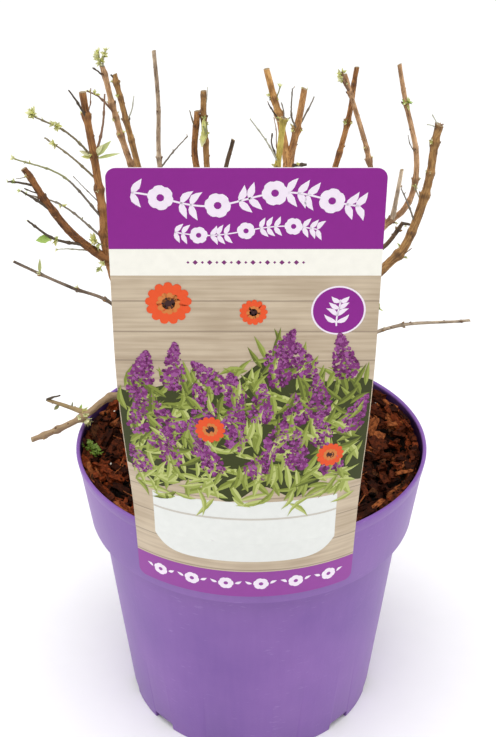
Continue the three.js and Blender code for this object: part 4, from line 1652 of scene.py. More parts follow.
DRY_SPRAYS = (
    Spray("spray_left_dark", "stem_left", 396, (-94, -5, 406), (-98, -10, 415), lush=0, twig=Twig.DARK,
          thick=1.3),
    Spray("spray_left_thin", "stem_left", 346, (-95, 8, 352), (-103, 16, 357), lush=0, twig=Twig.GREY,
          thick=0.62),
    Spray("spray_outer_dry", "bough_left_outer", 345, (-119, -13, 353), (-127, -18, 361), lush=0.3,
          twig=Twig.DARK, thick=1.6),
    Spray("spray_outer_foot", "bough_left_outer", 319, (-105, -6, 321), (-113, -4, 320), lush=0,
          twig=Twig.PALE, thick=0.9),
    Spray("spray_inner_dry", "bough_left_inner", 383, (-69, 33, 391), (-67, 30, 400), lush=0,
          twig=Twig.PALE, thick=0.8),
    Spray("spray_slim_dry", "bough_left_slim", 346, (-48, 63, 355), (-39, 70, 363), lush=0.5,
          twig=Twig.GREY),
    Spray("spray_centre_dark", "bough_centre_left", 391, (12, 6, 398), (9, 2, 404), lush=0.4,
          twig=Twig.DARK),
    Spray("spray_centre_dry", "bough_centre_right", 387, (22, 4, 396), (22, 0, 413), lush=0.6,
          twig=Twig.GREY),
    Spray("spray_right_dry", "stem_right", 334, (88, -6, 349), (83, -12, 360), lush=0.5, twig=Twig.GREY),
)


@dataclass(frozen=True)
class Shoot:
    """A short twig on a limb, too thin for a solid of its own."""

    on: str
    at: float
    points: tuple[Point, ...]
    radius: float = 0.45
    twig: Twig = Twig.GREY


SHOOTS = (
    Shoot("stem_left", 398, ((-88, -2, 405), (-87, -3, 414)), 0.4, Twig.BROWN),
    Shoot("stem_left_back", 407, ((-89, 43, 411), (-91, 41, 413)), 0.6, Twig.DARK),
    Shoot("stem_left_back", 412, ((-87, 44, 417), (-87.3, 43.5, 421.5)), 0.5, Twig.PALE),
    Shoot("stem_left", 321, ((-88, -3, 323), (-90, -4, 326)), 0.55, Twig.GREEN),
    Shoot("stem_left", 312, ((-86, -4, 311), (-87.5, -5, 309.5)), 0.5, Twig.GREEN),
    Shoot("bough_back_twin", 381, ((-30.4, 48, 385), (-29.8, 47.5, 386.6)), 0.9, Twig.BROWN),
    Shoot("bough_right_dark_stub", 330.5, ((91, 8, 330.6), (93.4, 6, 330.6)), 1.0, Twig.DARK),
    Shoot("bough_left_inner", 408, ((-80, 34, 411),), 0.8, Twig.DARK),
    Shoot("bough_left_outer", 356, ((-123, -13, 359), (-126, -14, 361)), 0.5, Twig.DARK),
    Shoot("bough_left_outer", 367.5, ((-125, -12, 366.8), (-130, -14, 366.6)), 0.3, Twig.OLIVE),
    Shoot("bough_back_twin", 372, ((-35, 49, 380), (-36.5, 48, 386)), 0.5, Twig.OLIVE),
    Shoot("stem_back", 384, ((-26, 49, 394), (-25.5, 48, 400)), 0.3, Twig.PALE),
    Shoot("bough_centre_left", 403, ((14, 9, 406), (15.5, 8, 411.5)), 0.5, Twig.GREEN),
    Shoot("bough_centre_front", 376, ((12.4, -13, 381), (10.7, -10, 386), (11.2, -9, 391)), 0.6, Twig.DARK),
    Shoot("bough_centre_front", 378, ((13.4, -14, 386), (13.2, -10, 393), (12, 0, 397)), 0.35, Twig.BROWN),
    Shoot("bough_centre_front", 401, ((17, -19, 406), (15.5, -18, 410.8)), 0.4, Twig.GREY),
    Shoot("bough_centre_front", 399, ((19, -18, 401), (20.5, -16, 402)), 0.5, Twig.OLIVE),
    Shoot("stem_centre", 366, ((26, 7, 367), (31, 5, 368)), 1.2, Twig.DARK),
    Shoot("stem_right_mid", 367, ((91.5, 27.5, 372.5), (90, 27, 378)), 0.35, Twig.GREY),
    Shoot("stem_right_mid", 349, ((96, 21, 347), (98, 15, 343)), 0.5, Twig.OLIVE),
    Shoot("stem_right", 391, ((101, -1, 395), (98.5, -3, 399.4)), 0.4, Twig.PALE),
    Shoot("stem_right", 390, ((99, -2, 393), (96, -4, 394.2)), 0.4, Twig.PALE),
    Shoot("stem_right", 391, ((104, 0, 392.5), (105.6, 0, 393)), 0.7, Twig.BROWN),
    Shoot("stem_right", 315, ((88.7, -2, 316.4), (92.4, -4, 320.8)), 0.35, Twig.BROWN),
    Shoot("bough_low_upper", 202.8, ((-131.5, 22, 203.5), (-130, 21, 205), (-122, 20, 208)), 0.85, Twig.DARK),
)


@dataclass(frozen=True)
class Tuft:
    """A cluster of young leaves near a limb or twig: where it points, its size and colour."""

    place: Point
    way: Point
    size: float
    count: int
    leaf: Leaf
    width: float = 0.42


TUFTS = (
    Tuft((-87, 43, 414.5), (-0.6, -0.6, 0.5), 4.2, 12, PALE, 0.5),
    Tuft((-86, 43, 416), (0.5, -0.6, 0.5), 3.6, 10, LIME, 0.5),
    Tuft((-87.2, 43, 417.5), (-0.5, -0.7, 0.4), 4.4, 12, PALE, 0.5),
    Tuft((-87.3, 43, 420), (-0.5, -0.6, 0.7), 4.0, 12, LIME, 0.45),
    Tuft((-87.3, 43, 421.5), (-0.1, -0.4, 1.0), 3.0, 8, PALE, 0.45),
    Tuft((-85, 43, 418.5), (0.3, -0.7, 0.6), 4.0, 11, LIME, 0.5),
    Tuft((-84, 43, 420.5), (-0.2, -0.7, 0.5), 3.8, 10, PALE, 0.5),
    Tuft((-83.6, 43.6, 422), (0.1, -0.4, 1.0), 3.2, 9, PALE, 0.45),
    Tuft((-118, -17, 403), (-0.9, -0.3, 0.0), 3.4, 9, LIME, 0.45),
    Tuft((-117.5, -17, 404), (-0.5, -0.5, 0.9), 5.4, 12, LIME, 0.4),
    Tuft((-116.5, -17, 404.5), (-0.1, -0.5, 1.0), 6.0, 12, PALE, 0.38),
    Tuft((-115.5, -17, 404), (0.4, -0.5, 0.9), 4.4, 10, PALE, 0.4),
    Tuft((-117, -17, 403), (-0.2, -0.8, 0.1), 3.8, 9, LIME, 0.5),
    Tuft((-106, -12, 397.4), (-0.5, -0.7, 0.6), 3.8, 11, PALE, 0.55),
    Tuft((-104.5, -11.5, 396.4), (0.3, -0.8, 0.6), 3.8, 11, LIME, 0.55),
    Tuft((-105, -11.5, 396), (-0.1, -0.9, -0.4), 3.4, 9, LIME, 0.55),
    Tuft((-112, 15, 377.5), (-0.5, -0.6, 0.5), 4.0, 11, LIME, 0.5),
    Tuft((-111, 15, 377), (0.3, -0.7, -0.3), 3.4, 8, PALE, 0.5),
    Tuft((-126, -31, 384.5), (-0.9, -0.4, 0.5), 3.4, 10, PALE, 0.6),
    Tuft((-120, -25, 380), (-0.4, -0.5, 0.5), 2.2, 6, LIME, 0.5),
    Tuft((-109, 22, 335.5), (0.1, -0.7, 0.8), 3.4, 8, LIME, 0.45),
    Tuft((-111, 22, 334.5), (-0.8, -0.6, -0.3), 3.4, 7, PALE, 0.5),
    Tuft((-133, 28, 341.5), (-0.6, -0.5, 0.7), 3.0, 7, FRESH, 0.45),
    Tuft((-97, 15, 330), (0.3, -0.6, 0.6), 2.2, 4, DUSK, 0.4),
    Tuft((-130, -15, 366), (-0.4, -0.6, 0.4), 3.2, 8, FRESH, 0.5),
    Tuft((-127, -18, 361), (-0.8, -0.4, 0.4), 2.8, 7, SAGE, 0.45),
    Tuft((-110, -20, 332), (0.1, -0.8, -0.4), 4.0, 10, LIME, 0.5),
    Tuft((-108.5, -19.5, 333), (0.5, -0.6, 0.7), 3.2, 8, SAGE, 0.45),
    Tuft((-112, -20.5, 332.5), (-0.6, -0.6, 0.1), 3.0, 7, PALE, 0.5),
    Tuft((-112, -4, 319.5), (-0.6, -0.6, 0.2), 2.6, 7, PALE, 0.5),
    Tuft((-126, 9, 299), (-0.2, -0.7, 0.3), 2.4, 6, PALE, 0.5),
    Tuft((-90, -4, 326), (-0.5, -0.7, 0.7), 5.4, 14, LIME, 0.42),
    Tuft((-89, -4, 324), (-0.7, -0.7, 0.0), 5.4, 14, SAGE, 0.42),
    Tuft((-88, -3, 322.5), (-0.6, -0.7, -0.5), 5.2, 13, SAGE, 0.42),
    Tuft((-87.5, -5, 309.5), (-0.4, -0.8, -0.4), 4.6, 12, SAGE, 0.42),
    Tuft((-86, -4, 311), (-0.3, -0.8, 0.4), 3.8, 9, PALE, 0.45),
    Tuft((-92, -2, 314), (-0.6, -0.5, 0.0), 1.8, 3, DUSK, 0.3),
    Tuft((-87, -3, 355), (-0.6, -0.6, 0.4), 2.4, 5, SAGE),
    Tuft((-80, 43, 382), (-0.8, -0.6, -0.1), 3.2, 7, LIME, 0.5),
    Tuft((-77, 42, 373), (-0.8, -0.6, 0.1), 2.6, 6, LIME, 0.5),
    Tuft((-90, 36, 400), (0.1, -0.5, 1.0), 3.2, 8, LIME, 0.5),
    Tuft((-92, 35, 401), (-0.5, -0.5, 0.8), 2.8, 7, PALE, 0.5),
    Tuft((-88, 37, 399), (0.4, -0.5, 0.5), 2.6, 6, LIME, 0.5),
    Tuft((-28, 47, 381), (0.1, -0.9, 0.4), 3.2, 7, SAGE),
    Tuft((-27, 47, 377), (0.3, -0.8, 0.4), 4.2, 9, LIME, 0.5),
    Tuft((-27, 47, 372), (0.1, -0.8, 0.3), 4.8, 10, LIME, 0.5),
    Tuft((-28, 47, 368), (-0.3, -0.8, 0.1), 4.4, 9, PALE, 0.55),
    Tuft((8, 8, 406), (-1.0, -0.4, 0.3), 3.4, 8, LIME, 0.5),
    Tuft((9, 7, 405), (-0.9, -0.5, -0.4), 2.6, 6, DUSK, 0.5),
    Tuft((14, 8, 404.5), (0.8, -0.5, 0.5), 2.4, 6, LIME, 0.5),
    Tuft((15.5, 8, 411.5), (0.1, -0.4, 1.0), 2.8, 8, SAGE, 0.4),
    Tuft((18.5, -18, 402), (0.7, -0.6, 0.0), 2.8, 7, LIME, 0.5),
    Tuft((16, -19, 401), (-0.6, -0.6, 0.5), 2.4, 6, DUSK, 0.5),
    Tuft((22.5, 8, 387), (-0.8, -0.6, 0.2), 3.2, 8, LIME, 0.5),
    Tuft((28, 9, 386.4), (0.8, -0.6, 0.2), 2.8, 7, LIME, 0.45),
    Tuft((27.5, 9, 410.5), (-0.8, -0.4, 0.6), 1.8, 5, SAGE),
    Tuft((31, 9, 410), (0.9, -0.4, 0.4), 1.6, 4, SAGE),
    Tuft((25, 6, 368.5), (0.5, -0.6, 0.6), 3.2, 7, LIME),
    Tuft((12.5, -14, 375), (-0.8, -0.6, 0.3), 3.4, 8, LIME, 0.5),
    Tuft((15.5, -14, 374), (0.5, -0.8, -0.4), 3.2, 8, LIME, 0.5),
    Tuft((14, -15, 377), (0.1, -0.9, 0.6), 2.6, 6, PALE, 0.45),
    Tuft((8.2, -24, 393), (-0.2, -0.6, 0.4), 1.8, 4, DUSK),
    Tuft((55, 47, 378.3), (-0.8, -0.6, 0.3), 3.2, 8, SAGE, 0.5),
    Tuft((60, 47, 377.7), (0.9, -0.5, 0.1), 3.2, 8, LIME, 0.5),
    Tuft((56, 47, 380), (-0.3, -0.6, 0.9), 2.4, 5, DUSK, 0.4),
    Tuft((50.5, 30, 412.5), (-0.9, -0.5, 0.3), 4.4, 12, LIME, 0.45),
    Tuft((51.3, 30, 411), (-0.7, -0.7, -0.2), 4.0, 11, PALE, 0.45),
    Tuft((51.5, 31, 409), (-0.5, -0.7, -0.4), 3.4, 9, SAGE, 0.45),
    Tuft((52, 30, 413), (0.3, -0.6, 0.8), 2.8, 8, LIME, 0.5),
    Tuft((54, 33, 407), (0.6, -0.7, -0.1), 2.4, 5, DUSK, 0.5),
    Tuft((89, 28, 396.5), (-0.7, -0.6, 0.4), 4.0, 10, FRESH, 0.45),
    Tuft((90.5, 28, 397), (0.5, -0.6, 0.9), 4.2, 10, FRESH, 0.4),
    Tuft((89.5, 28, 395), (0.1, -0.9, -0.3), 3.2, 8, LIME, 0.45),
    Tuft((96, 26, 349), (0.0, -0.8, -0.6), 3.6, 7, LIME, 0.4),
    Tuft((87, 26, 333), (-0.2, -0.8, 0.4), 2.2, 5, PALE),
    Tuft((90, 9, 328), (0.2, -0.7, -0.6), 2.4, 5, PALE),
    Tuft((99.4, -2, 383.5), (-0.7, -0.6, 0.1), 3.0, 8, LIME, 0.5),
    Tuft((96.4, -2, 366), (-0.8, -0.5, 0.4), 2.4, 5, DUSK, 0.5),
    Tuft((85, 3, 321), (-0.9, -0.4, 0.4), 3.4, 7, SAGE, 0.36),
    Tuft((81, 2, 308), (-0.2, -0.8, 0.2), 3.0, 5, PALE, 0.5),
    Tuft((-103, 8, 193), (0.5, -0.6, -0.7), 6.4, 14, LIME, 0.5),
    Tuft((-105, 7, 196), (0.1, -0.9, 0.1), 4.6, 12, PALE, 0.6),
    Tuft((-106, 10, 200), (0.2, -0.6, 0.8), 4.4, 10, LIME, 0.5),
    Tuft((-108, 6, 200), (-0.3, -0.9, 0.4), 3.4, 12, PALE, 0.6),
    Tuft((-104, 6, 202), (0.2, -0.9, 0.5), 3.4, 12, PALE, 0.6),
)
LONE_LEAVES = (
    ((-84, -2, 375), (-78, -4, 385), SAGE, 0.27),
    ((-83.5, -2, 374), (-73, -5, 378.5), SAGE, 0.14),
    ((-84, -2, 376), (-82.4, -3, 382.5), PALE, 0.34),
    ((-90, -2, 375), (-95.5, -4, 379.4), PALE, 0.36),
    ((-90, -2, 374), (-94.5, -4, 376), LIME, 0.4),
    ((-112.6, -22, 333.4), (-120.4, -24, 334.2), FRESH, 0.62),
    ((-126, 9, 299), (-125, 8, 308.5), SAGE, 0.22),
    ((-28, 46, 380.5), (-28.4, 44, 373), LIME, 0.28),
    ((-28, 46, 376), (-28.8, 43, 367.5), LIME, 0.34),
    ((-28.5, 46, 373), (-29.6, 43, 365), PALE, 0.42),
    ((-27, 46, 380), (-26.6, 43, 372.5), DUSK, 0.26),
    ((-109, 16, 196.5), (-108, 16, 204), FRESH, 0.4),
    ((-107, 15, 198.6), (-104, 14, 203), SAGE, 0.3),
    ((-115, 17, 199.6), (-114, 17, 205.2), DUSK, 0.22),
    ((-123.5, 20, 199), (-127, 19, 197.6), DUSK, 0.5),
)


@dataclass
class Foliage:
    """Every twig, leaf and bud, grown on from the limbs. Millimetres."""

    skeleton: Skeleton
    internode: float = 13.0
    leafy_radii: Pair = (0.72, 0.42)
    dry_radii: Pair = (0.6, 0.32)
    twiglet_radii: Pair = (0.3, 0.18)
    twiglet_reach: float = 0.4
    leaf_length: Pair = (4.5, 8.5)
    first_leaf: float = 0.74
    spur_step: float = 11.0
    low_light: float = 215.0
    tuft_turn: float = 2.4
    tuft_true: float = 0.7
    rod_sides: int = 7
    faced: Point = (0.1, -0.8, 0.6)
    twigs: Heap = field(default_factory=Heap)
    dry: Heap = field(default_factory=Heap)
    leaves: Heap = field(default_factory=Heap)
    buds: Heap = field(default_factory=Heap)

    def __post_init__(self) -> None:
        """Samples the limbs, so that leaves can keep clear of them and be seated on them."""
        shares = np.linspace(0, 1, 160)
        self.limb_spots = np.concatenate([self.skeleton.spine(limb, shares) for limb in LIMBS])
        self.limb_radii = np.concatenate([between(*limb.radii, shares) for limb in LIMBS])
        self.wood = [self.limb_spots]
        self.wood_radii = [self.limb_radii]
        self.random = np.random.default_rng(SEED + 7)

    def seat(self, place: Point) -> np.ndarray:
        """Returns the nearest place to a point on the bark of any limb or twig."""
        spots, radii = np.concatenate(self.wood), np.concatenate(self.wood_radii)
        nearest = int(np.argmin(np.linalg.norm(spots - place, axis=1) - radii))
        return spots[nearest] + unit(np.array(place) - spots[nearest]) * radii[nearest] * 0.85

    def clear(self, point: np.ndarray, gap: float = 0.3) -> bool:
        """Says whether a point is outside every limb."""
        away = np.linalg.norm(self.limb_spots - point, axis=1)
        return bool(np.all(away > self.limb_radii + gap))

    def growing_points(self, route: Route, random: Callable[[], float]) -> list[tuple]:
        """Returns the places where a mass may grow.

        Args:
            route: The mass's twig.
            random: Its numbers.

        Returns:
            For each, the root, the way out, the twig's direction, the size and the hand.
        """
        joints = int((route.length - 4) // self.internode)
        places = []
        for k in range(1, joints + 2):
            share = 0.985 if k > joints else k * self.internode / route.length
            along = route.tangent(share)
            side = unit(np.cross(UP, along))
            side = turned_about(side, along, (k % 2) * (math.pi / 2) + random() * 0.6)
            for hand in (1, -1):
                lean = between(0.7, 1.3, random())
                direction = unit(side * hand + along * lean)
                size = between(*self.leaf_length, random())
                places.append((route.at(share), direction, along, size, hand))
        return places

    def add_twig(
        self, heap: Heap, route: Route, radii: Pair, spacing: float, tone: Twig,
        foot: Twig | None = None,
    ) -> None:
        """Adds a thin twig with swollen joints.

        Args:
            heap: Where it goes.
            route: Its route.
            radii: Its first and last radius.
            spacing: The distance between its joints, or nothing for a smooth one.
            tone: Its finish.
            foot: The finish of its lower half, where that is another one.
        """
        shares = np.linspace(0, 1, max(4, int(route.length / 1.2)))
        radii_along = between(*radii, shares)
        if spacing:
            offset = np.mod(shares * route.length + spacing / 2, spacing) - spacing / 2
            swell = np.exp(-((offset / 0.9) ** 2)) * (shares * route.length > spacing / 2)
            radii_along = radii_along * (1 + 0.6 * swell)
        spine = route.many(shares)
        wander = self.random.normal(0, 0.055, spine.shape) * np.minimum(shares * 8, 1)[:, None]
        spine = spine + wander
        self.wood.append(spine)
        self.wood_radii.append(radii_along)
        half = len(shares) // 2 if foot else 0
        if foot:
            rod(heap, spine[: half + 1], radii_along[: half + 1] * 1.02, self.rod_sides, foot.value)
        rod(heap, spine[half:], radii_along[half:], self.rod_sides, tone.value)

    def add_tuft(
        self, root: np.ndarray, direction: np.ndarray, size: float, count: int, tone: int,
        width: float = 0.42,
    ) -> None:
        """Adds a few tiny leaves round a young bud.

        Args:
            root: Where they spring from.
            direction: Where the bud points.
            size: The biggest leaf's length.
            count: How many leaves.
            tone: Their finish.
            width: Their width as a share of their length.
        """
        side = unit(np.cross(direction, [0.4, 0.2, 0.9]))
        for k in range(count):
            turn = k * self.tuft_turn + float(self.random.uniform(-0.4, 0.4))
            way = unit(direction * self.random.uniform(0.7, 2.2) + turned_about(side, direction, turn))
            length = size * float(self.random.uniform(0.5, 1.0))
            if self.clear(root + way * length):
                curl = float(self.random.uniform(-0.15, 0.3))
                shape = width * float(self.random.uniform(0.75, 1.1))
                toned = tone if self.random.random() < self.tuft_true else PALE.value
                blade(self.leaves, root, way, direction, length, shape, curl, toned)
        bud(self.buds, root, direction, size * 0.45, size * 0.26, Bud.YOUNG.value)

    def from_limb(self, name: str, height: float, points: Sequence[Point]) -> Route:
        """Returns a route from a height on a limb through some points."""
        return Route([self.skeleton.routes[name].at_height(height), *points])

    def add_main_twig(self, heap: Heap, spray: Spray, radii: Pair) -> Route:
        """Adds the twig that carries a mass.

        Args:
            heap: Where it goes.
            spray: The mass.
            radii: The first and last radius of a twig of plain thickness.

        Returns:
            Its route.
        """
        route = self.from_limb(spray.on, spray.at, (spray.bow, spray.tip))
        own = (radii[0] * spray.thick, radii[1] * spray.thick)
        self.add_twig(heap, route, own, self.internode, spray.twig, spray.foot)
        return route

    def add_leafy_spray(self, spray: Spray, seed: int) -> None:
        """Grows one fresh mass by the source's rule, with finer leaves at every joint.

        Args:
            spray: The mass.
            seed: The start of its numbers.
        """
        route = self.add_main_twig(self.twigs, spray, self.leafy_radii)
        tones = (spray.leaf.value, SAGE.value, DUSK.value, PALE.value)
        for k, (root, way, along, size, _) in enumerate(self.growing_points(route, seeded(seed))):
            size *= spray.lush
            length = size * self.first_leaf
            if not self.clear(root + way * length * 0.8):
                continue
            curl = float(self.random.uniform(-0.05, 0.25))
            width = float(self.random.uniform(0.3, 0.42))
            blade(self.leaves, root, way, along, length, width, curl, tones[k % len(tones)])
            self.add_tuft(root, unit(along + way * 0.5), size * 0.42, 3, tones[(k + 1) % len(tones)])

    def add_dry_spray(self, spray: Spray, seed: int) -> None:
        """Grows one bare mass by the source's rule, with finer twiglets beyond it.

        Args:
            spray: The mass.
            seed: The start of its numbers.
        """
        route = self.add_main_twig(self.dry, spray, self.dry_radii)
        for root, way, _, size, hand in self.growing_points(route, seeded(seed)):
            end = root + way * size * spray.lush * self.twiglet_reach
            if hand < 0 or not spray.lush or not self.clear(end):
                continue
            self.add_twig(self.dry, Route([root, end]), self.twiglet_radii, 0, spray.twig)
            bud(self.buds, end, way, 1.0, 0.5, Bud.TAN.value)

    def add_joint_buds(self) -> None:
        """Sets an opposite pair of buds at every limb's joints, and spurs between them."""
        for limb in LIMBS:
            route = self.skeleton.routes[limb.name]
            joints = list(self.skeleton.joints(limb))
            spurs = [
                run + float(self.random.uniform(-4, 4))
                for run in np.arange(self.spur_step, route.length - 4, self.spur_step)
            ]
            shares = np.array([*joints, *spurs]) / route.length
            for k, share in enumerate(shares):
                along = route.tangent(share)
                radius = between(*limb.radii, share)
                sides, others = route.frames(np.linspace(0, share, 12))
                paired = k < len(joints)
                turn = k * math.pi / 2 if paired else float(self.random.uniform(0, 6.3))
                side = sides[-1] * math.cos(turn) + others[-1] * math.sin(turn)
                for hand in (1, -1) if paired else (1,):
                    middle = self.skeleton.spine(limb, share)[0]
                    root = middle + side * hand * radius * (1.05 if paired else 0.85)
                    way = unit(side * hand * 0.65 + along)
                    size = float(self.random.uniform(1.4, 2.4) if paired else self.random.uniform(0.8, 1.7))
                    tone = Bud.DARK if self.random.random() < 0.45 else Bud.TAN
                    bud(self.buds, root, way, size, size * 0.62, tone.value)
                    if paired and self.random.random() < 0.2 and root[2] > self.low_light:
                        leaf = int(self.random.choice([SAGE.value, LIME.value, PALE.value]))
                        self.add_tuft(root + way, way, float(self.random.uniform(2.0, 3.6)), 4, leaf)

    def build(self) -> None:
        """Grows everything and joins it, each kind apart."""
        for index, spray in enumerate(LEAFY_SPRAYS):
            self.add_leafy_spray(spray, SEED + index + 1)
        for index, spray in enumerate(DRY_SPRAYS):
            self.add_dry_spray(spray, SEED + 100 + index + 1)
        for shoot in SHOOTS:
            route = self.from_limb(shoot.on, shoot.at, shoot.points)
            radii = (shoot.radius, shoot.radius * 0.6)
            self.add_twig(self.dry, route, radii, 9, shoot.twig)
        for tuft in TUFTS:
            way = unit(np.array(tuft.way))
            self.add_tuft(self.seat(tuft.place), way, tuft.size, tuft.count, tuft.leaf.value, tuft.width)
        for place, tip, leaf, width in LONE_LEAVES:
            root = self.seat(place)
            reach = np.array(tip, float) - root
            size = float(np.linalg.norm(reach))
            blade(self.leaves, root, reach / size, self.faced, size, width, 0.1, leaf.value)
        self.add_joint_buds()
        fresh = [spray.name for spray in LEAFY_SPRAYS]
        bare = [spray.name for spray in DRY_SPRAYS]
        self.twigs.piece("twigs_green", Slot.FRESH, TWIG_FINISHES, fresh)
        self.leaves.piece("leaves", Slot.FRESH, LEAF_FINISHES, fresh)
        self.buds.piece("buds", Slot.FRESH, BUD_FINISHES, fresh)
        self.dry.piece("twigs_dry", Slot.DRY, TWIG_FINISHES, bare)


# --- Label ------------------------------------------------------------------------------


@dataclass
class LabelSheet:
    """The bent sheet of the hang-over label. Millimetres."""

    # The solid pot has 48 sides, and their middles are nearer to its axis by this share.
    WALL_FLAT = math.cos(math.pi / 48)

    pot: Pot
    width: float = 132.0
    thick: float = 0.8
    foot: float = 148.0
    head: float = 408.0
    corner: float = 5.0
    middles: Pair = (-4.8, -2.8)
    flat_from: float = 330.0
    tongue_width: float = 44.0
    tongue_foot: float = 152.0
    gap: float = 0.3
    header_foot: float = 367.0
    strip_foot: float = 353.0
    band_head: float = 168.0
    columns: int = 72

    def bend(self, across: np.ndarray, height: np.ndarray, proud: np.ndarray | float) -> np.ndarray:
        """Lays places on the label, wrapped round the collar below and flat above.

        Args:
            across: The distance from the label's middle line.
            height: The height above the pot's underside.
            proud: How far in front of the sheet's middle.

        Returns:
            The places, in millimetres.
        """
        pot = self.pot
        on_pot = np.minimum(height, pot.height)
        share = (on_pot - pot.collar_foot) / (pot.height - pot.collar_foot)
        reach = between(pot.collar_foot_radius, pot.rim_radius, share)
        y = -(reach + self.gap + self.thick / 2)
        ease = np.clip((height - (pot.height - 10)) / (self.flat_from - (pot.height - 10)), 0, 1)
        curve = np.maximum((1 - ease * ease * (3 - 2 * ease)) / -y, 1e-6)
        middle = between(*self.middles, (height - self.foot) / (self.head - self.foot))
        radius = 1 / curve + proud
        turn = (middle + across) * curve
        return np.stack([radius * np.sin(turn), y + 1 / curve - radius * np.cos(turn), height], axis=-1)

    def heights(self) -> np.ndarray:
        """Returns the heights of the sheet's rows, closer at its round corners."""
        curve = self.corner * (1 - np.cos(np.linspace(0, math.pi / 2, 8)))
        marks = [self.foot + self.corner, self.band_head, self.pot.height, self.strip_foot]
        marks += [self.header_foot, self.head - self.corner]
        rows = [self.foot + curve[:-1]]
        for low, high in zip(marks, marks[1:]):
            rows.append(np.linspace(low, high, max(2, int((high - low) / 3)), endpoint=False))
        rows.append(self.head - curve[::-1])
        return np.concatenate(rows)

    def half_width(self, height: np.ndarray) -> np.ndarray:
        """Returns half the label's width at a height, less at its round corners."""
        into = np.minimum(height - self.foot, self.head - height)
        lack = np.clip(self.corner - into, 0, self.corner)
        return self.width / 2 - (self.corner - np.sqrt(np.maximum(self.corner**2 - lack**2, 0)))

    def add_sheet(self) -> None:
        """Bends the printed sheet and gives it its thickness."""
        heights = self.heights()
        rows = len(heights) - 1

        def place(across: np.ndarray, along: np.ndarray) -> np.ndarray:
            """Lays the grid on the label."""
            height = heights[np.rint(along * rows).astype(int)]
            return self.bend((across * 2 - 1) * self.half_width(height), height, self.thick / 2) * MM

        sheet = rolled_grid(self.columns, rows, place)
        finishes = [Finish.BOARDS, Finish.HEADER, Finish.STRIP, Finish.BAND, Finish.CARD]
        dress(sheet, "label_sheet", finishes, ["label"])
        zones = [(self.header_foot, 1), (self.strip_foot, 2), (self.band_head, 0), (0.0, 3)]
        for face in sheet.data.polygons:
            face.material_index = next(zone for low, zone in zones if face.center.z > low * MM)
        back = len(finishes) - 1
        apply(
            sheet, "SOLIDIFY", thickness=self.thick * MM, offset=-1.0, material_offset=back,
            material_offset_rim=back,
        )
        smooth(sheet, 40)

    def add_hook(self) -> None:
        """Folds the tongue from the sheet over the rim and down inside the wall."""
        rim = self.pot.height
        half = self.tongue_width / 2

        def behind(radius: float) -> float:
            """Returns how far back the tongue is inside a wall of some outer radius."""
            wall = (radius - self.pot.rim_thick) * self.WALL_FLAT
            return math.sqrt(wall**2 - half**2) - self.gap - self.thick / 2

        inner = behind(self.pot.rim_radius)
        deep = behind(self.pot.collar_radius(self.tongue_foot))
        out = self.pot.rim_radius + self.gap + self.thick / 2
        top = rim + self.gap + 0.6
        path = np.array([
            (-out, top), (-inner - 1.1, top), (-inner - 0.3, rim + 0.5), (-inner, rim - 0.8),
            (-inner + 0.6, rim - 8), (-deep, self.tongue_foot),
        ])
        steps = np.concatenate([[0], np.cumsum(np.linalg.norm(np.diff(path, axis=0), axis=1))])

        def place(across: np.ndarray, along: np.ndarray) -> np.ndarray:
            """Lays the strip over the rim."""
            run = along * steps[-1]
            y, z = np.interp(run, steps, path[:, 0]), np.interp(run, steps, path[:, 1])
            x = (across * 2 - 1) * self.tongue_width / 2
            bulge = np.where(y < -self.pot.rim_radius + 0.5, x * x / (2 * out), 0)
            return np.stack([x, y + bulge, z], axis=-1) * MM

        hook = rolled_grid(16, 60, place)
        apply(hook, "SOLIDIFY", thickness=self.thick * MM, offset=0.0)
        mend(hook)
        smooth(hook, 50)
        dress(hook, "label_hook", [Finish.CARD], ["label"])

    def build(self) -> None:
        """Builds the sheet and its hook."""
        self.add_sheet()
        self.add_hook()


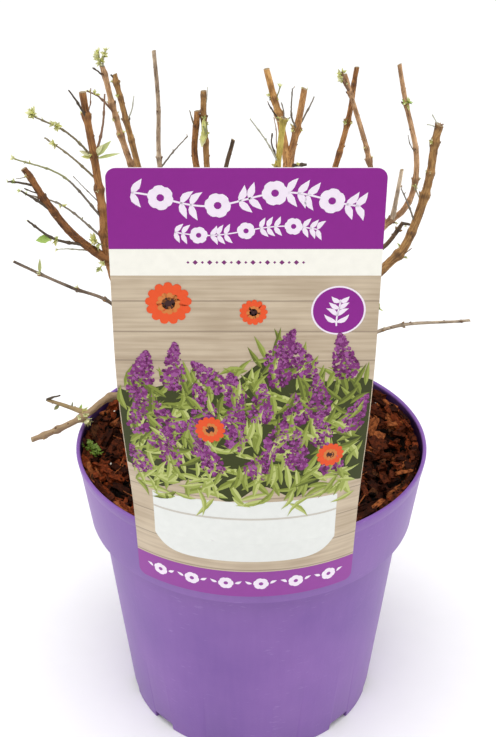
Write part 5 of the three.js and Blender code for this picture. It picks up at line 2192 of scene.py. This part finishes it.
class LabelPrint:
    """The generic printed design: sprigs, a planting of blossom spikes and a few daisies."""

    LAYER = 0.03
    WAVE = 12
    TROUGH_HALF = 52
    MEDALLION = (46.0, 334.0)
    VINES = ((392.5, 54.0, 8.6, 4.6, 4), (376.5, 34.0, 6.0, 3.4, 3))
    DAISIES = ((-38, 338, 11.5), (4, 333, 7), (-18, 264, 8), (46, 246, 7.5))
    GREENS = (
        Finish.LEAF_PRINT_DARK, Finish.LEAF_PRINT, Finish.LEAF_PRINT_LIGHT, Finish.LEAF_PRINT_PALE,
    )

    def __init__(self, sheet: LabelSheet) -> None:
        """Starts an empty print.

        Args:
            sheet: The label that it lies on.
        """
        self.sheet = sheet
        self.random = np.random.default_rng(SEED + 21)
        self.heaps: dict[Finish, Heap] = {}
        self.layer = 1

    def shape(self, outline: Sequence, ink: Finish) -> None:
        """Prints a flat shape on the label.

        Args:
            outline: Its corners, as distances across and heights.
            ink: Its colour.
        """
        corners = np.array(outline, float)
        points = self.sheet.bend(*corners.T, self.sheet.thick / 2 + self.LAYER * self.layer)
        self.heaps.setdefault(ink, Heap()).add(points, [tuple(range(len(points)))])

    def round(self, middle: np.ndarray, size: float, ink: Finish, corners: int = 10) -> None:
        """Prints a dot, or a diamond where it has four corners."""
        self.shape(middle + size * around(corners), ink)

    def stroke(self, line: np.ndarray, width: float, ink: Finish) -> None:
        """Prints a line of some width, in short straight quads."""
        away = np.gradient(line, axis=0)
        side = np.stack([-away[:, 1], away[:, 0]], axis=1)
        side = side / np.linalg.norm(side, axis=1)[:, None] * width / 2
        for a, b, p, q in zip(line, line[1:], side, side[1:]):
            self.shape([a - p, b - q, b + q, a + p], ink)

    def panel(self, across: np.ndarray, low: np.ndarray, high: np.ndarray, ink: Finish) -> None:
        """Prints an area between two lines, in the rows of the sheet.

        Args:
            across: The lines' places across.
            low, high: Their heights.
            ink: Its colour.
        """
        rows = self.sheet.heights()
        for k in range(len(across) - 1):
            left, right = (np.clip(rows, low[i], high[i]) for i in (k, k + 1))
            for a, b, c, d in zip(left, left[1:], right, right[1:]):
                if max(b - a, d - c) > 0.01:
                    quad = [(across[k], a), (across[k + 1], c), (across[k + 1], d), (across[k], b)]
                    self.shape(quad, ink)

    def leaf(
        self, root: Sequence, angle: float, length: float, width: float,
        inks: Sequence[Finish] = (Finish.WHITE, Finish.WHITE),
    ) -> None:
        """Prints a two-toned lance leaf.

        Args:
            root: Where it springs from.
            angle: Where it points, in radians from level.
            length, width: Its size.
            inks: The colours of its two halves.
        """
        along, side = heading(angle)
        bow = self.random.uniform(-0.14, 0.14) * length
        shares = np.array([0.0, 0.2, 0.45, 0.72, 1.0])
        widths = np.array([0.1, 0.8, 1.0, 0.6, 0.0]) * width / 2
        rib = root + np.outer(shares * length, along) + np.outer(bow * np.sin(shares * math.pi), side)
        for hand, ink in zip((1, -1), inks):
            rim = rib + np.outer(widths * hand, side)
            for k in range(len(rib) - 1):
                quad = [rib[k], rib[k + 1], rim[k + 1], rim[k]]
                self.shape(quad if hand > 0 else quad[::-1], ink)

    def blossom(self, middle: Sequence, size: float, petals: int, ink: Finish, heart: Finish) -> None:
        """Prints a small round flower.

        Args:
            middle: Its middle.
            size: Its radius.
            petals: How many petals.
            ink, heart: The colours of the petals and of the middle.
        """
        start = self.random.uniform(0, math.pi)
        wide = size * math.sin(math.pi / petals) * 0.9
        rim = np.array([(0.16, 0.3), (0.5, 0.86), (0.8, 1.0), (0.96, 0.62), (1.0, 0.2)])
        for k in range(petals):
            along, side = heading(start + k * 2 * math.pi / petals)
            ends = [
                np.outer(rim[:, 0] * size, along) + np.outer(rim[:, 1] * wide * hand, side)
                for hand in (-1, 1)
            ]
            self.layer += 1 if k % 2 else -1
            self.shape(np.concatenate([ends[0], ends[1][::-1]]) + middle, ink)
        self.layer += 1 + petals % 2
        self.round(np.array(middle), size * 0.3, heart)
        self.layer -= 1

    def spike(self, root: Sequence, angle: float, length: float, width: float) -> None:
        """Prints a plump tapering spike of many small florets.

        Args:
            root: Its foot.
            angle: Where it points.
            length, width: Its size.
        """
        along, side = heading(angle)
        inks = (Finish.VIOLET, Finish.PURPLE, Finish.LILAC, Finish.ORCHID)
        for k in range(int(length * width * 0.62)):
            share = self.random.random()
            half = width / 2 * (1 - share) ** 0.6 * (0.45 + 0.55 * min(1, share * 5))
            offset = self.random.uniform(-1, 1) * half
            spot = root + along * length * share + side * offset
            size = self.random.uniform(0.8, 1.4) * (1.1 - 0.4 * share)
            early = k < length * width * 0.25
            lit = 0.5 + 0.5 * (along[0] * offset / half + 0.6 * share)
            pick = self.random.random() * (1.3 if early else 2.2) + lit
            ways = around(5, self.random.uniform(0, 1.5))
            reach = size * self.random.uniform(0.6, 1.2, 5)
            self.layer = 4 + (0 if early else 1 + k % 2)
            self.shape(spot + ways * reach[:, None], inks[min(3, int(pick))])

    def vine(self, height: float, reach: float, leaf: float, step: float, blossoms: int) -> None:
        """Prints one pale garland on the head.

        Args:
            height: Its middle height.
            reach: Half its width.
            leaf: Its leaves' length.
            step: The distance between pairs of leaves.
            blossoms: How many blossoms it has.
        """
        wave = leaf * 0.4
        across = np.linspace(-reach, reach, int(reach * 1.6))
        line = np.stack([across, height + wave * np.sin(across / self.WAVE)], axis=1)
        self.stroke(line, leaf * 0.11, Finish.WHITE)
        flowers = (np.arange(blossoms) + 0.5) / blossoms * 2 * reach - reach
        for x in np.arange(-reach, reach + 0.1, step):
            if np.abs(flowers - x - leaf * 0.25).min() < leaf * 0.95:
                continue
            root = np.array([x, height + wave * math.sin(x / self.WAVE)])
            slope = math.atan(wave / self.WAVE * math.cos(x / self.WAVE))
            for hand in (1, -1):
                self.leaf(root, slope + hand, leaf, leaf * 0.42)
        self.layer += 2
        for x in flowers:
            middle = [x, height + wave * math.sin(x / self.WAVE)]
            self.blossom(middle, leaf * 0.72, 6, Finish.WHITE, Finish.HEADER)
        self.layer -= 2

    def header(self) -> None:
        """Prints the two garlands on the purple head, and the row of beads under them."""
        for vine in self.VINES:
            self.vine(*vine)
        strip = (self.sheet.header_foot + self.sheet.strip_foot) / 2
        for k, across in enumerate(np.arange(-28, 29, 3.5)):
            self.round(np.array([across, strip]), 1.3 if k % 2 else 0.75, Finish.PURPLE, 4)

    def trough(self) -> None:
        """Prints the long pale trough at the picture's foot."""
        across = np.linspace(-self.TROUGH_HALF, self.TROUGH_HALF, 58)
        lean = (across / self.TROUGH_HALF) ** 8
        self.panel(across, 176 + 12 * lean, np.full_like(across, 218.0), Finish.WALL)
        self.layer = 2
        self.panel(across, 206 + lean, 207.2 + lean, Finish.WALL_SHADE)
        self.layer = 1

    @staticmethod
    def crest(across: float) -> float:
        """Returns the height of the planting's top at a place across."""
        return 302 + 8 * math.sin(across / 19 + 0.5) + 5 * math.sin(across / 8)

    def planting(self) -> None:
        """Prints the drift of leaves and blossom spikes, back rows first."""
        across = np.linspace(-65.5, 65.5, 60)
        crest = np.array([self.crest(x) - 8 for x in across])
        foot = 222 + 5 * np.sin(across / 6) + np.abs(across) * 0.12
        self.layer = 3
        self.panel(across, foot, crest, Finish.LEAF_PRINT_DEEP)
        rows = 10
        for row in range(rows):
            depth = row / (rows - 1)
            for x in np.arange(-64, 65, 3.4):
                x = float(np.clip(x + self.random.uniform(-2, 2), -62, 62))
                level = between(self.crest(x) - 8, 220, depth) + self.random.uniform(-4, 4)
                angle = math.pi / 2 + self.random.normal(0, 0.85) * (1 + depth * 0.6)
                length = self.random.uniform(12, 19)
                if abs(x + math.cos(angle) * length) > 65:
                    angle = math.pi - angle
                tone = min(2, int(self.random.random() * 2.2 + depth * 0.9))
                self.layer = 4 + row % 3
                inks = (self.GREENS[tone], self.GREENS[tone + 1])
                self.leaf((x, level), angle, length, self.random.uniform(2.5, 4.0), inks)
            if row % 2 == 0:
                for x in np.arange(-55 + 5 * (row % 4), 58, 21.0):
                    x = float(np.clip(x + self.random.uniform(-5, 5), -56, 56))
                    level = between(self.crest(x) - 12, 226, depth) + self.random.uniform(-4, 6)
                    angle = math.pi / 2 + self.random.normal(0, 0.35)
                    size = self.random.uniform(19, 30)
                    self.spike((x, level), angle, size, self.random.uniform(13.5, 17.5))

    def daisies(self) -> None:
        """Prints the orange daisies."""
        self.layer = 8
        for across, height, size in self.DAISIES:
            middle = (float(across), float(height))
            self.blossom(middle, size, 13, Finish.ORANGE, Finish.BROWN)
            self.layer += 1
            self.blossom(middle, size * 0.52, 11, Finish.AMBER, Finish.BROWN)
            self.layer -= 1

    def medallion(self) -> None:
        """Prints a purple disc with a white sprig in it, high on the boards' right side."""
        middle = np.array(self.MEDALLION)
        self.layer = 2
        self.round(middle, 13.5, Finish.WHITE, 48)
        self.layer = 3
        self.round(middle, 12.6, Finish.HEADER, 48)
        self.layer = 4
        stem = np.linspace(-8.5, 6, 12)
        self.stroke(np.stack([0.8 * np.sin(stem / 4), stem], axis=1) + middle, 0.8, Finish.WHITE)
        for rise in (-6.5, -2.8, 0.9, 4.6):
            for hand in (1, -1):
                root = middle + np.array([0.8 * math.sin(rise / 4), rise])
                self.leaf(root, math.pi / 2 - hand * 0.95, 6.4 - rise * 0.2, 2.6)

    def band(self) -> None:
        """Prints the row of small pale blossoms and leaves along the bottom band."""
        self.layer = 3
        for across in np.arange(-50, 51, 20.0):
            self.blossom((across, 158.5), 4.4, 6, Finish.WHITE, Finish.BAND)
            for hand in (1, -1):
                root = (across + hand * 5.2, 158.5)
                self.leaf(root, 0.5 if hand > 0 else math.pi - 0.5, 4.4, 2.0)

    def build(self) -> None:
        """Prints everything, each ink as one piece."""
        self.header()
        self.trough()
        self.planting()
        self.daisies()
        self.medallion()
        self.band()
        for ink, heap in self.heaps.items():
            heap.piece(ink.value.name.replace("print_", "printed_"), Slot.LABEL, [ink], ["label"], soft=False)


# --- Everything together ----------------------------------------------------------------


def main() -> None:
    """Builds the studio, the pot, the mulch, the bush and the label, in that order."""
    logging.basicConfig(level=logging.INFO, format="%(message)s")
    Studio().build()
    pot = Pot()
    pot.build()
    MulchBed(pot).build()
    skeleton = Skeleton()
    skeleton.build()
    Foliage(skeleton).build()
    sheet = LabelSheet(pot)
    sheet.build()
    LabelPrint(sheet).build()
    clear_bench()


if __name__ == "__main__":
    main()
